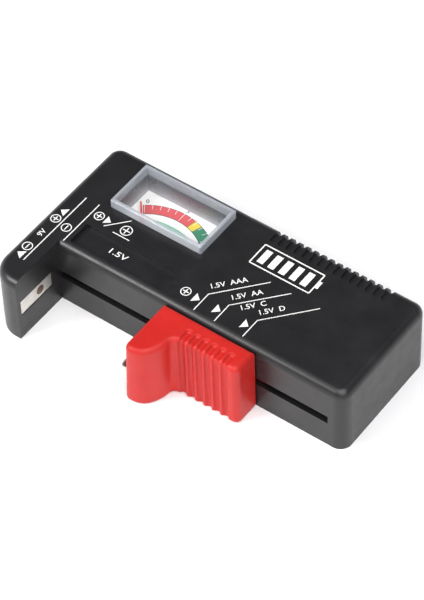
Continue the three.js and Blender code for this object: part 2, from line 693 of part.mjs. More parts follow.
// A flat spiral spring about the spindle.
function hairspring(z) {
  const turns = 3;
  const steps = 14 * turns;
  const points = Array.from({ length: steps + 1 }, (_, i) => {
    const angle = (i / steps) * turns * 2 * Math.PI;
    const radius = 0.9 + (i / steps) * 2.3;
    return [PIVOT.x + radius * Math.cos(angle), PIVOT.y + radius * Math.sin(angle)];
  });
  return strip(points, 0.16, z, z + 0.35);
}

function upperBridge() {
  const { x, y } = PIVOT;
  const bar = block(x - 9.5, x + 9.5, y - 1.6, y + 1.6, 20.45, 21.25);
  const floor = METER.z0 + METER.wall + 0.05;
  const feet = [x - 9.5, x + 8.1].map((left) => block(left, left + 1.4, y - 1.6, y + 1.6, floor, 20.9));
  return cutBy(joined(bar, ...feet), rod("z", [x, y], 1.15, 19, 22, 16));
}

function jewelScrew(z0, z1, radius) {
  return rod("z", [PIVOT.x, PIVOT.y], radius, z0, z1, 16);
}

function needleStop(side) {
  const angle = side * (NEEDLE_ANGLE + THREE.MathUtils.degToRad(9.5));
  const reach = 8.4;
  const centre = [PIVOT.x + reach * Math.sin(angle), PIVOT.y + reach * Math.cos(angle)];
  return rod("z", centre, 0.4, DIAL_TOP + 0.02, 20.2, 10);
}

function meterTerminal(y) {
  return joined(
    rod("x", [y, TERMINAL.z], 1.1, METER.x0 - 0.5, METER.x0 - 0.1, 16),
    rod("x", [y, TERMINAL.z], 0.6, METER.x0 - 3.2, METER.x0 - 0.4, 12),
  );
}

// ---- electrical parts ----
function busBar() {
  const { x0, x1, y0, y1, z0, z1 } = BUS_BAR;
  return block(x0, x1, y0, y1, z0, z1);
}

// An axial resistor lying along y, with short leads.
function resistor({ x, y, z, radius, length }) {
  const half = length / 2;
  const profile = [
    [0, -half],
    [radius * 0.75, -half],
    [radius, -half + 0.6],
    [radius, -half + 1.4],
    [radius * 0.88, -half + 1.9],
    [radius * 0.88, half - 1.9],
    [radius, half - 1.4],
    [radius, half - 0.6],
    [radius * 0.75, half],
    [0, half],
  ].map(([r, along]) => new THREE.Vector2(r, along));
  const body = new THREE.LatheGeometry(profile, 18);
  body.translate(x, y, z);
  return joined(toSolid(body), rod("y", [x, z], 0.35, y - half - 4, y + half + 4, 8));
}

// ---- assembly ----
const tester = new THREE.Group();
tester.name = "battery_tester";
tester.position.set(-CASE_LENGTH / 2, -(CASE_DEPTH - ARM_REACH) / 2, 0);

function place(name, material, solid) {
  const mesh = new THREE.Mesh(toGeometry(solid), material);
  mesh.name = name;
  tester.add(mesh);
}

function placeCase() {
  place("upper_case", MATERIALS.blackPlastic, upperCase());
  place("base_cover", MATERIALS.blackPlastic, baseCover());
  for (const [corner, at] of Object.entries(COVER_SCREWS)) {
    place("cover_screw_" + corner, MATERIALS.steel, coverScrew(at));
  }
}

function placeContacts() {
  place("fixed_contact_plate", MATERIALS.nickel, fixedContactPlate());
  place("fixed_contact_rivet", MATERIALS.nickel, fixedContactRivet());
  const [minusY, plusY] = nineVoltPositions();
  place("nine_volt_contact_minus", MATERIALS.nickel, nineVoltContact(minusY));
  place("nine_volt_contact_plus", MATERIALS.nickel, nineVoltContact(plusY));
  place("bus_bar", MATERIALS.brass, busBar());
}

function placeSlider() {
  place("slider_grip", MATERIALS.redPlastic, sliderGrip());
  place("slider_carriage", MATERIALS.redPlastic, sliderCarriage());
  place("slider_contact_leaf", MATERIALS.nickel, contactLeaf());
  place("slider_contact_rivet", MATERIALS.nickel, contactRivet());
  place("slider_contact_strap", MATERIALS.brass, contactStrap());
  place("slider_wiper", MATERIALS.brass, wiper());
  place("carriage_screw_left", MATERIALS.steel, carriageScrew(CARRIAGE_SCREW_X[0]));
  place("carriage_screw_right", MATERIALS.steel, carriageScrew(CARRIAGE_SCREW_X[1]));
}

function placeMeter() {
  place("meter_lens", MATERIALS.clearLens, meterLens());
  place("meter_body", MATERIALS.whitePlastic, meterBody());
  place("dial_plate", MATERIALS.dialCard, dialPlate());
  place("yoke_ring", MATERIALS.softIron, yokeRing());
  place("core_magnet", MATERIALS.magnet, coreMagnet());
  place("core_lug_front", MATERIALS.brass, coreLug(-1));
  place("core_lug_rear", MATERIALS.brass, coreLug(1));
  place("upper_bridge", MATERIALS.brass, upperBridge());
  place("upper_jewel_screw", MATERIALS.brass, jewelScrew(20.25, 21.6, 1));
  place("lower_jewel_screw", MATERIALS.brass, jewelScrew(METER.z0 + 0.05, METER.z0 + 0.75, 1.3));
  place("hairspring_upper", MATERIALS.copper, hairspring(16.2));
  place("hairspring_lower", MATERIALS.copper, hairspring(COIL.z0 - 0.55));
  place("needle_stop_left", MATERIALS.steel, needleStop(-1));
  place("needle_stop_right", MATERIALS.steel, needleStop(1));
  place("meter_terminal_plus", MATERIALS.brass, meterTerminal(TERMINAL.plusY));
  place("meter_terminal_minus", MATERIALS.brass, meterTerminal(TERMINAL.minusY));
}

function placeMovement() {
  place("moving_coil", MATERIALS.copper, movingCoil());
  place("spindle_upper", MATERIALS.steel, upperSpindle());
  place("spindle_lower", MATERIALS.steel, lowerSpindle());
  place("needle", MATERIALS.needleRed, pointer());
  place("needle_counterweight", MATERIALS.steel, counterweight());
}

function placeWiring() {
  const [minusY, plusY] = nineVoltPositions();
  const { z, minusY: terminalMinusY, plusY: terminalPlusY } = TERMINAL;
  const shunt = NINE_VOLT_RESISTOR;
  const load = LOAD_RESISTOR;
  const routes = {
    wire_fixed_contact: [
      [6.7, FIXED_PLATE.rivetY, CONTACT_Z],
      [5.4, -5, 8.5],
      [5, 2, 6.5],
      [8.4, 10, 7.5],
      [10.3, terminalMinusY - 1.4, z],
    ],
    wire_nine_volt_minus: [
      [4.2, minusY, CONTACT_Z + 1.6],
      [5.2, minusY - 1.4, 14.8],
      [6.5, FIXED_PLATE.rivetY, 14],
    ],
    wire_nine_volt_plus: [
      [4.1, plusY, CONTACT_Z],
      [5.6, plusY + 1.6, 13.6],
      [shunt.x, 12.5, shunt.z],
    ],
    wire_bus_bar: [
      [10.9, 3.5, 17.9],
      [9.4, 7.4, 15.6],
      [7.6, 10.2, 12],
      [load.x, 10.9, load.z],
    ],
    wire_nine_volt_to_meter: [
      [shunt.x, 30.7, shunt.z],
      [7.4, 31.2, 14],
      [9.8, 31, 11.6],
      [10.4, terminalPlusY + 1.5, 9.8],
    ],
    wire_load_to_meter: [
      [6.4, 31.2, load.z - 0.8],
      [8.2, 30.8, 7.4],
      [10.2, terminalPlusY + 1.4, 7.8],
    ],
  };
  place("load_resistor", MATERIALS.resistorBody, resistor(LOAD_RESISTOR));
  place("nine_volt_resistor", MATERIALS.resistorBody, resistor(NINE_VOLT_RESISTOR));
  for (const [name, route] of Object.entries(routes)) {
    const negative = name.includes("minus") || name.includes("fixed");
    place(name, negative ? MATERIALS.blackWire : MATERIALS.redWire, wire(route, WIRE_RADIUS));
  }
}

placeCase();
placeContacts();
placeSlider();
placeMeter();
placeMovement();
placeWiring();

export default tester;
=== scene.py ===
"""The looks of an analogue battery tester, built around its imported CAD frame.

Lengths are in metres. Dimensions written in millimetres are multiplied by MM, and places on the
case are given from its left end, its front wall and its underside by at().
"""

import json
import math

import bmesh
import bpy
from mathutils import Matrix, Vector


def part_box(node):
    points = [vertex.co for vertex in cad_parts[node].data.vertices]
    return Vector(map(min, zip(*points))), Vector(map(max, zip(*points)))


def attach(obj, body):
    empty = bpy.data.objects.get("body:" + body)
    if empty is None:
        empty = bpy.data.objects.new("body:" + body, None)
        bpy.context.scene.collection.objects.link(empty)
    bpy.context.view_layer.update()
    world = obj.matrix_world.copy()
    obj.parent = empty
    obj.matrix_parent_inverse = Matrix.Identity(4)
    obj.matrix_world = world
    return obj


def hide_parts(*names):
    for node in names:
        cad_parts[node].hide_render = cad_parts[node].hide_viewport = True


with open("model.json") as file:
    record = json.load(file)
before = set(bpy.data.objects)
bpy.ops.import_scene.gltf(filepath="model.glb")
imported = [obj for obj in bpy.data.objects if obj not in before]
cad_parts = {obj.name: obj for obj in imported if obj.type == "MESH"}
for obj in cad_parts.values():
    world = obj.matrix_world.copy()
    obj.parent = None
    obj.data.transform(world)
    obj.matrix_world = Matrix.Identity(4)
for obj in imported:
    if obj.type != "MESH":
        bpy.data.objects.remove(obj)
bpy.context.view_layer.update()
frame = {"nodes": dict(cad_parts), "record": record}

# ---- sizes that several pieces share, in mm ----
MM = 0.001
ARM_REACH = 19.32
ARM_WIDTH = 9.85
WALL = 1.6
EDGE_FILLET = 2.7
CORNER_RADIUS = 3.8
ARM_TIP_RADIUS = 7.9
WINDOW = (13.9, 46.5, 20.0, 37.5)
POCKET_DEPTH = 1.3
CONTACT_Z = 11.8
NINE_VOLT_MIDDLE = 0.6
NINE_VOLT_SPACING = 12.7
NINE_VOLT_MINUS_Y = NINE_VOLT_MIDDLE - NINE_VOLT_SPACING / 2
NINE_VOLT_PLUS_Y = NINE_VOLT_MIDDLE + NINE_VOLT_SPACING / 2

case_low, case_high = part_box("upper_case")
LENGTH = (case_high.x - case_low.x) / MM
DEPTH = (case_high.y - case_low.y) / MM - ARM_REACH
HEIGHT = (case_high.z - case_low.z) / MM


def at(x, y, z):
    """A place on the case, in mm from its left end, front wall and underside, as metres."""
    return Vector((case_low.x + x * MM, case_low.y + (ARM_REACH + y) * MM, case_low.z + z * MM))


# ---- material nodes ----
class Nodes:
    """A short way to write a node tree."""

    def __init__(self, name):
        self.material = bpy.data.materials.new(name)
        self.material.use_nodes = True
        self.tree = self.material.node_tree
        self.shader = self.tree.nodes["Principled BSDF"]

    def add(self, kind, **settings):
        node = self.tree.nodes.new("ShaderNode" + kind)
        for key, value in settings.items():
            setattr(node, key, value)
        return node

    def link(self, source, target):
        self.tree.links.new(source, target)

    def drive(self, source, socket):
        """Links an output to one of the shader's own sockets."""
        self.link(source, self.shader.inputs[socket])

    def set(self, **values):
        for key, value in values.items():
            self.shader.inputs[key.replace("_", " ")].default_value = value

    def place(self):
        return self.add("TexCoord").outputs["Object"]

    def noise(self, scale, detail=3.0, roughness=0.55, stretch=None):
        node = self.add("TexNoise")
        node.inputs["Scale"].default_value = scale
        node.inputs["Detail"].default_value = detail
        node.inputs["Roughness"].default_value = roughness
        source = self.place()
        if stretch:
            mapping = self.add("Mapping")
            mapping.inputs["Scale"].default_value = stretch
            self.link(source, mapping.inputs["Vector"])
            source = mapping.outputs["Vector"]
        self.link(source, node.inputs["Vector"])
        return node.outputs["Fac"]

    def ramp(self, source, stops):
        node = self.add("ValToRGB")
        node.color_ramp.elements[0].position = stops[0][0]
        node.color_ramp.elements[0].color = stops[0][1]
        node.color_ramp.elements[1].position = stops[-1][0]
        node.color_ramp.elements[1].color = stops[-1][1]
        for position, colour in stops[1:-1]:
            node.color_ramp.elements.new(position).color = colour
        self.link(source, node.inputs["Fac"])
        return node.outputs["Color"]

    def spread(self, source, low, high, start=0.3, end=0.7):
        node = self.add("MapRange")
        node.inputs["From Min"].default_value = start
        node.inputs["From Max"].default_value = end
        node.inputs["To Min"].default_value = low
        node.inputs["To Max"].default_value = high
        self.link(source, node.inputs["Value"])
        return node.outputs["Result"]

    def bump(self, source, strength, distance):
        node = self.add("Bump")
        node.inputs["Strength"].default_value = strength
        node.inputs["Distance"].default_value = distance * MM
        self.link(source, node.inputs["Height"])
        return node

    def edges(self, low, high):
        """Worn edges: 0 on flat stretches, 1 on the sharpest convex ones."""
        return self.spread(self.add("NewGeometry").outputs["Pointiness"], 0.0, 1.0, low, high)


def grey(value):
    return (value, value, value, 1)


def moulded_plastic(name, dark, light, roughness, grain, grain_scale=5200, specular=0.5, worn=None):
    """Moulded plastic: a fine spark-eroded grain and faint flow marks, with worn edges if given."""
    n = Nodes(name)
    colour = n.ramp(n.noise(90, 4, 0.6), [(0.35, (*dark, 1)), (0.7, (*light, 1))])
    if worn:
        mix = n.add("MixRGB")
        n.link(n.edges(0.515, 0.57), mix.inputs["Fac"])
        n.link(colour, mix.inputs["Color1"])
        mix.inputs["Color2"].default_value = (*worn, 1)
        colour = mix.outputs["Color"]
    n.drive(colour, "Base Color")
    n.drive(n.spread(n.noise(260, 5, 0.6), roughness[0], roughness[1]), "Roughness")
    fine = n.bump(n.noise(grain_scale, 2, 0.5), grain, 0.04)
    broad = n.bump(n.noise(55, 2, 0.4), 0.05, 0.3)
    n.link(fine.outputs["Normal"], broad.inputs["Normal"])
    n.drive(broad.outputs["Normal"], "Normal")
    n.set(Specular_IOR_Level=specular)
    return n.material


def plated_metal(name, dark, light, roughness, stretch, scratch=0.12):
    """Brushed or plated metal, with streaks along one direction and slight staining."""
    n = Nodes(name)
    streaks = n.noise(900, 4, 0.6, stretch=stretch)
    stains = n.noise(240, 4, 0.65)
    mixed = n.add("MixRGB", blend_type="MULTIPLY")
    mixed.inputs["Fac"].default_value = 0.5
    n.link(n.ramp(streaks, [(0.3, (*dark, 1)), (0.7, (*light, 1))]), mixed.inputs["Color1"])
    n.link(n.ramp(stains, [(0.3, grey(0.72)), (0.6, grey(1.0))]), mixed.inputs["Color2"])
    n.drive(mixed.outputs["Color"], "Base Color")
    n.drive(n.spread(streaks, roughness[0], roughness[1]), "Roughness")
    n.drive(n.bump(streaks, scratch, 0.03).outputs["Normal"], "Normal")
    n.set(Metallic=1.0)
    return n.material


def printed_ink(name, colour, wear=0.12):
    """Screen-printed ink with slightly uneven cover."""
    n = Nodes(name)
    dark = tuple(c * (1 - wear) for c in colour)
    n.drive(n.ramp(n.noise(2600, 3, 0.6), [(0.3, (*dark, 1)), (0.55, (*colour, 1))]), "Base Color")
    n.drive(n.spread(n.noise(1800, 2), 0.5, 0.7), "Roughness")
    n.drive(n.bump(n.noise(6000, 2), 0.1, 0.02).outputs["Normal"], "Normal")
    n.set(Specular_IOR_Level=0.3)
    return n.material


def paper_card(name):
    """Matt white card with a faint fibre."""
    n = Nodes(name)
    fibre = n.noise(1500, 5, 0.7, stretch=(1, 2.5, 1))
    n.drive(n.ramp(fibre, [(0.3, (0.82, 0.82, 0.8, 1)), (0.7, (0.92, 0.92, 0.9, 1))]), "Base Color")
    n.drive(n.bump(fibre, 0.1, 0.03).outputs["Normal"], "Normal")
    n.drive(n.spread(fibre, 0.75, 0.9), "Roughness")
    return n.material


def clear_acrylic(name, low, high, roughness, tint):
    """Moulded acrylic: more see-through face on, and more solid at a grazing angle."""
    n = Nodes(name)
    facing = n.add("LayerWeight")
    facing.inputs["Blend"].default_value = 0.35
    n.drive(n.spread(facing.outputs["Facing"], low, high, 0.15, 0.95), "Alpha")
    haze = n.noise(340, 4, 0.6)
    pale = tuple(min(1, c * 1.06) for c in tint)
    n.drive(n.ramp(haze, [(0.3, (*tint, 1)), (0.7, (*pale, 1))]), "Base Color")
    n.drive(n.spread(haze, roughness * 0.7, roughness * 1.4), "Roughness")
    n.drive(n.bump(n.noise(130, 2), 0.04, 0.2).outputs["Normal"], "Normal")
    return n.material


def resistor_lacquer(name):
    """A tan lacquered body with slightly uneven colour and gloss."""
    n = Nodes(name)
    mottling = n.ramp(n.noise(700, 3), [(0.3, (0.42, 0.3, 0.16, 1)), (0.7, (0.58, 0.44, 0.26, 1))])
    n.drive(mottling, "Base Color")
    n.drive(n.spread(n.noise(500, 2), 0.3, 0.5), "Roughness")
    return n.material


def shaded_liner(name):
    """Grey moulding with painted shade, darker towards the top."""
    n = Nodes(name)
    split = n.add("SeparateXYZ")
    n.link(n.place(), split.inputs["Vector"])
    height = n.spread(split.outputs["Z"], 0.0, 1.0, 0.018, 0.0242)
    soft = n.add("Math", operation="ADD")
    n.link(height, soft.inputs[0])
    n.link(n.spread(n.noise(300, 3), -0.03, 0.03), soft.inputs[1])
    # painted shade: light grey at the dial's level, darkening to near black at the top of the walls
    stops = [(0.0, (0.42, 0.42, 0.45, 1)), (0.5, (0.2, 0.2, 0.22, 1)), (0.95, (0.07, 0.07, 0.08, 1))]
    n.drive(n.ramp(soft.outputs["Value"], stops), "Base Color")
    n.drive(n.spread(n.noise(500, 2), 0.25, 0.45), "Roughness")
    return n.material


def pale_paper(name):
    """The floor's off-white paper."""
    n = Nodes(name)
    fibre = n.noise(420, 4, 0.6)
    n.drive(n.ramp(fibre, [(0.3, (0.93, 0.93, 0.935, 1)), (0.7, (0.95, 0.95, 0.955, 1))]), "Base Color")
    n.drive(n.bump(fibre, 0.03, 0.1).outputs["Normal"], "Normal")
    n.set(Roughness=0.85, Specular_IOR_Level=0.2)
    return n.material


BLACK = moulded_plastic(
    "black_moulded", (0.008, 0.0077, 0.0085), (0.013, 0.0125, 0.014), (0.3, 0.4), 0.2
)
RED = moulded_plastic(
    "red_moulded", (0.47, 0.012, 0.009), (0.53, 0.016, 0.012), (0.38, 0.5), 0.1,
    grain_scale=4200, specular=0.35, worn=(0.6, 0.035, 0.03)
)
WHITE = moulded_plastic("white_moulded", (0.5, 0.5, 0.49), (0.58, 0.58, 0.57), (0.45, 0.6), 0.1)
NICKEL = plated_metal("nickel_plate", (0.74, 0.71, 0.66), (0.86, 0.83, 0.78), (0.36, 0.5), (1, 0.06, 1), 0.05)
TARNISHED = plated_metal("tarnished_rivet", (0.1, 0.06, 0.045), (0.3, 0.22, 0.18), (0.4, 0.6), (1, 1, 1), 0.2)
BRASS = plated_metal("brass_strip", (0.48, 0.33, 0.12), (0.66, 0.48, 0.2), (0.22, 0.4), (8, 1, 1))
STEEL = plated_metal("zinc_steel", (0.4, 0.4, 0.41), (0.62, 0.62, 0.63), (0.2, 0.4), (1, 6, 1))
IRON = plated_metal("turned_iron", (0.12, 0.12, 0.13), (0.24, 0.24, 0.25), (0.35, 0.55), (1, 1, 10))
COPPER = plated_metal("enamelled_copper", (0.34, 0.12, 0.05), (0.6, 0.26, 0.12), (0.2, 0.35), (1, 1, 30), 0.4)
RESISTOR = resistor_lacquer("resistor_lacquer")
BLACK_WIRE = moulded_plastic("black_insulation", (0.01, 0.01, 0.01), (0.02, 0.02, 0.02), (0.35, 0.5), 0.05)
RED_WIRE = moulded_plastic("red_insulation", (0.36, 0.015, 0.012), (0.44, 0.022, 0.018), (0.35, 0.5), 0.05)
CARD = paper_card("dial_card")
INK_WHITE = printed_ink("white_ink", (0.82, 0.82, 0.8))
INK_RED = printed_ink("dial_red", (0.66, 0.09, 0.1))
INK_YELLOW = printed_ink("dial_yellow", (0.78, 0.6, 0.06))
INK_GREEN = printed_ink("dial_green", (0.03, 0.24, 0.13))
INK_MINT = printed_ink("dial_mint", (0.24, 0.56, 0.4))
INK_DARK = printed_ink("dial_outline", (0.03, 0.035, 0.035))
NEEDLE = printed_ink("needle_lacquer", (0.7, 0.04, 0.03))
CLEAR = clear_acrylic("clear_acrylic", 0.01, 0.3, 0.04, (0.6, 0.63, 0.68))
RIM = clear_acrylic("rim_acrylic", 0.45, 0.8, 0.05, (0.5, 0.53, 0.58))
LINER = shaded_liner("liner_plastic")

SLOT_LOOKS = {
    "black_case": BLACK, "red_plastic": RED, "white_plastic": WHITE, "dial_card": CARD,
    "clear_lens": CLEAR, "needle_red": NEEDLE, "nickel": NICKEL, "brass": BRASS, "steel": STEEL,
    "soft_iron": IRON, "magnet": IRON, "copper": COPPER, "resistor_body": RESISTOR,
    "black_wire": BLACK_WIRE, "red_wire": RED_WIRE,
}


# ---- outlines, in mm ----
def arc(cx, cy, radius, start, end, steps):
    """Points of an arc in degrees, both ends included."""
    return [
        (cx + radius * math.cos(math.radians(start + (end - start) * i / steps)),
         cy + radius * math.sin(math.radians(start + (end - start) * i / steps)))
        for i in range(steps + 1)
    ]


def quadratic(start, control, end, steps=8):
    """Points of a quadratic curve, without its start."""
    points = []
    for i in range(1, steps + 1):
        t = i / steps
        points.append(tuple(
            (1 - t) ** 2 * a + 2 * t * (1 - t) * b + t ** 2 * c for a, b, c in zip(start, control, end)
        ))
    return points


def rectangle(x0, x1, y0, y1):
    return [(x0, y0), (x1, y0), (x1, y1), (x0, y1)]


def rounded_box(x0, x1, y0, y1, radius, steps=6):
    return (
        arc(x1 - radius, y0 + radius, radius, -90, 0, steps)
        + arc(x1 - radius, y1 - radius, radius, 0, 90, steps)
        + arc(x0 + radius, y1 - radius, radius, 90, 180, steps)
        + arc(x0 + radius, y0 + radius, radius, 180, 270, steps)
    )


def grown(box, by):
    return box[0] - by, box[1] + by, box[2] - by, box[3] + by


# ---- meshes ----
def to_mesh(made, name):
    bmesh.ops.recalc_face_normals(made, faces=made.faces)
    mesh = bpy.data.meshes.new(name)
    made.to_mesh(mesh)
    made.free()
    return mesh


def loft(layers, name="loft"):
    """A closed mesh through layers of equally many points, [(x, y, z), ...] in mm on the case."""
    made = bmesh.new()
    rings = [[made.verts.new(at(*p)) for p in layer] for layer in layers]
    count = len(rings[0])
    for lower, upper in zip(rings, rings[1:]):
        for i in range(count):
            j = (i + 1) % count
            made.faces.new((lower[i], lower[j], upper[j], upper[i]))
    made.faces.new(list(reversed(rings[0])))
    made.faces.new(rings[-1])
    return to_mesh(made, name)


def prism(points, z0, z1, name="prism"):
    return loft([[(x, y, z0) for x, y in points], [(x, y, z1) for x, y in points]], name)


def rod(axis, centre, radius, start, end, steps=32):
    """A round bar along "x", "y" or "z", centred on the other two coordinates."""
    circle = arc(0, 0, radius, 0, 360 - 360 / steps, steps - 1)
    places = {
        "x": lambda along, a, b: (along, centre[0] + a, centre[1] + b),
        "y": lambda along, a, b: (centre[0] + a, along, centre[1] + b),
        "z": lambda along, a, b: (centre[0] + a, centre[1] + b, along),
    }
    return loft([[places[axis](along, a, b) for a, b in circle] for along in (start, end)], "rod")


def swept_loop(rows, name):
    """A ring-shaped mesh through closed rows of equally many (x, y, z), the last joined to the first."""
    made = bmesh.new()
    loops = [[made.verts.new(at(*p)) for p in row] for row in rows]
    count = len(loops[0])
    for k in range(len(loops)):
        lower = loops[k]
        upper = loops[(k + 1) % len(loops)]
        for i in range(count):
            j = (i + 1) % count
            made.faces.new((lower[i], lower[j], upper[j], upper[i]))
    return to_mesh(made, name)


def merged(meshes, name):
    """Several meshes in one."""
    whole = bmesh.new()
    for mesh in meshes:
        whole.from_mesh(mesh)
        bpy.data.meshes.remove(mesh)
    mesh = bpy.data.meshes.new(name)
    whole.to_mesh(mesh)
    whole.free()
    return mesh


# ---- objects ----
def shade(obj, angle):
    """Smooth shading with the edges sharper than the angle kept crisp."""
    mesh = obj.data
    mesh.polygons.foreach_set("use_smooth", [True] * len(mesh.polygons))
    mesh.set_sharp_from_angle(angle=math.radians(angle))


def new_object(name, mesh, material, body, replaced=(), smooth_angle=35):
    obj = bpy.data.objects.new(name, mesh)
    bpy.context.scene.collection.objects.link(obj)
    mesh.materials.append(material)
    shade(obj, smooth_angle)
    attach(obj, body)
    if replaced:
        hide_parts(*replaced)
    return obj


def temporary(mesh, name="cutter"):
    obj = bpy.data.objects.new(name, mesh)
    bpy.context.scene.collection.objects.link(obj)
    return obj


def apply_modifiers(obj):
    bpy.context.view_layer.update()
    evaluated = obj.evaluated_get(bpy.context.evaluated_depsgraph_get())
    mesh = bpy.data.meshes.new_from_object(evaluated)
    obj.modifiers.clear()
    old = obj.data
    obj.data = mesh
    bpy.data.meshes.remove(old)


def boolean(obj, cutters, operation="DIFFERENCE"):
    """Applies exact booleans with temporary meshes."""
    for mesh in cutters:
        cutter = temporary(mesh)
        modifier = obj.modifiers.new("cut", "BOOLEAN")
        modifier.operation = operation
        modifier.solver = "EXACT"
        modifier.object = cutter
        apply_modifiers(obj)
        bpy.data.objects.remove(cutter)


def taken_from(obj):
    """The mesh of a temporary object, which is removed."""
    mesh = obj.data
    bpy.data.objects.remove(obj)
    return mesh


def bevel(obj, width, segments=2, angle=32):
    modifier = obj.modifiers.new("edges", "BEVEL")
    modifier.width = width * MM
    modifier.segments = segments
    modifier.limit_method = "ANGLE"
    modifier.angle_limit = math.radians(angle)
    modifier.use_clamp_overlap = True
    modifier.harden_normals = True


def flat_faces(mesh):
    """Leaves the faces square to the case unsmoothed, so broad flat faces stay even."""
    for polygon in mesh.polygons:
        if max(abs(c) for c in polygon.normal) > 0.99999:
            polygon.use_smooth = False


def join_doubled_points(mesh):
    """Joins doubled points and removes zero-length edges left by the booleans."""
    made = bmesh.new()
    made.from_mesh(mesh)
    bmesh.ops.remove_doubles(made, verts=made.verts, dist=0.01 * MM)
    bmesh.ops.dissolve_degenerate(made, edges=made.edges, dist=0.01 * MM)
    made.to_mesh(mesh)
    made.free()


# ---- upper case ----
BEYOND = 1  # how far a cutter runs past the face that it cuts
FILLET_STEPS = 14
ARM_TRIM = 12
CASE_BEVEL = 0.28
SLOT = {"x0": 9.85, "x1": 104.4, "z0": 9.4, "z1": 12.3, "past_wall": 0.05}
WINDOW_GAP = 0.12
WINDOW_CORNER = 0.6
POCKET = (12.6, 45.0, 2.7, 10.7)
POCKET_CORNER = 0.5
POCKET_TAB = (45.0, 47.8, 4.8, 8.7)
TAB_CORNER = 0.6
POCKET_PAN = (11, 49.4, 0.8, 12.3)
PAN_CORNER = 0.3
SCREWS = ((6.0, 35.2), (104.0, 35.2), (103.6, 12.0), (ARM_WIDTH / 2, -13.8))
BOSS = {"radius": 2.6, "foot": 2.6, "hole_radius": 1.15, "hole_top": 9}
PLATE_RECESS = {"y0": -17.75, "y1": -3.45, "z0": 8.95, "z1": 14.65, "depth": 0.7}
RIVET_HOLE = {"y": -8.8, "radius": 1.15, "start": 6}
STUD_RECESS = {"radius": 4.15, "depth": 0.9, "hole_radius": 1.35, "hole_end": 3}
GROOVE = {"count": 15, "x": 60.3, "pitch": 2.73, "width": 1.85, "depth": 0.7, "y": 35.3, "drop": 4.0}


def inset_at(step):
    """The fillet's inset and drop from the top, in mm, at a step from the wall to the top."""
    angle = math.radians(90 * step / FILLET_STEPS)
    return EDGE_FILLET * (1 - math.cos(angle)), EDGE_FILLET * (1 - math.sin(angle))


def body_outline(inset):
    radius = CORNER_RADIUS - inset
    return (
        [(inset, inset)]
        + arc(LENGTH - CORNER_RADIUS, CORNER_RADIUS, radius, -90, 0, 12)
        + arc(LENGTH - CORNER_RADIUS, DEPTH - CORNER_RADIUS, radius, 0, 90, 12)
        + arc(CORNER_RADIUS, DEPTH - CORNER_RADIUS, radius, 90, 180, 12)
    )


def arm_outline(inset):
    """The arm, wide enough to be trimmed to its square inner edge."""
    root = CORNER_RADIUS + EDGE_FILLET
    wide = ARM_WIDTH + ARM_TRIM
    return [(wide, inset - ARM_REACH), (wide, root), (inset, root)] + arc(
        ARM_TIP_RADIUS, ARM_TIP_RADIUS - ARM_REACH, ARM_TIP_RADIUS - inset, 180, 270, 20
    )


def inner_outline():
    corner = CORNER_RADIUS - WALL
    return (
        arc(ARM_TIP_RADIUS, ARM_TIP_RADIUS - ARM_REACH, ARM_TIP_RADIUS - WALL, 180, 270, 12)
        + [(ARM_WIDTH - WALL, WALL - ARM_REACH), (ARM_WIDTH - WALL, WALL)]
        + arc(LENGTH - CORNER_RADIUS, CORNER_RADIUS, corner, -90, 0, 8)
        + arc(LENGTH - CORNER_RADIUS, DEPTH - CORNER_RADIUS, corner, 0, 90, 8)
        + arc(CORNER_RADIUS, DEPTH - CORNER_RADIUS, corner, 90, 180, 8)
    )


def filleted(outline):
    """The solid over an outline, its top edge rounded by the fillet."""
    layers = [[(x, y, 0.0) for x, y in outline(0)]]
    for step in range(FILLET_STEPS + 1):
        inset, drop = inset_at(step)
        layers.append([(x, y, HEIGHT - drop) for x, y in outline(inset)])
    return loft(layers)


def arm():
    """The arm, its inner side cut square."""
    made = temporary(filleted(arm_outline))
    trimming = rounded_box(ARM_WIDTH, 3 * ARM_WIDTH, -1.5 * ARM_REACH, ARM_REACH, 0.01, 1)
    boolean(made, [prism(trimming, -BEYOND, HEIGHT + BEYOND)])
    return taken_from(made)


def inner_supports():
    """The pan under the pocket and the screw bosses, which reach into the top."""
    top = HEIGHT - WALL / 2
    pan = prism(rounded_box(*POCKET_PAN, PAN_CORNER, 2), HEIGHT - POCKET_DEPTH - WALL, top)
    return [pan] + [rod("z", place, BOSS["radius"], BOSS["foot"], top, 24) for place in SCREWS]


def pocket_outline():
    """The pocket in the top, with its tab at the right."""
    x0, x1, y0, y1 = POCKET
    tab = POCKET_TAB
    return (
        arc(x1 - POCKET_CORNER, y0 + POCKET_CORNER, POCKET_CORNER, -90, 0, 4)
        + [(x1, tab[2])] + arc(tab[1] - TAB_CORNER, tab[2] + TAB_CORNER, TAB_CORNER, -90, 0, 4)
        + arc(tab[1] - TAB_CORNER, tab[3] - TAB_CORNER, TAB_CORNER, 0, 90, 4) + [(x1, tab[3])]
        + arc(x1 - POCKET_CORNER, y1 - POCKET_CORNER, POCKET_CORNER, 0, 90, 4)
        + arc(x0 + POCKET_CORNER, y1 - POCKET_CORNER, POCKET_CORNER, 90, 180, 4)
        + arc(x0 + POCKET_CORNER, y0 + POCKET_CORNER, POCKET_CORNER, 180, 270, 4)
    )


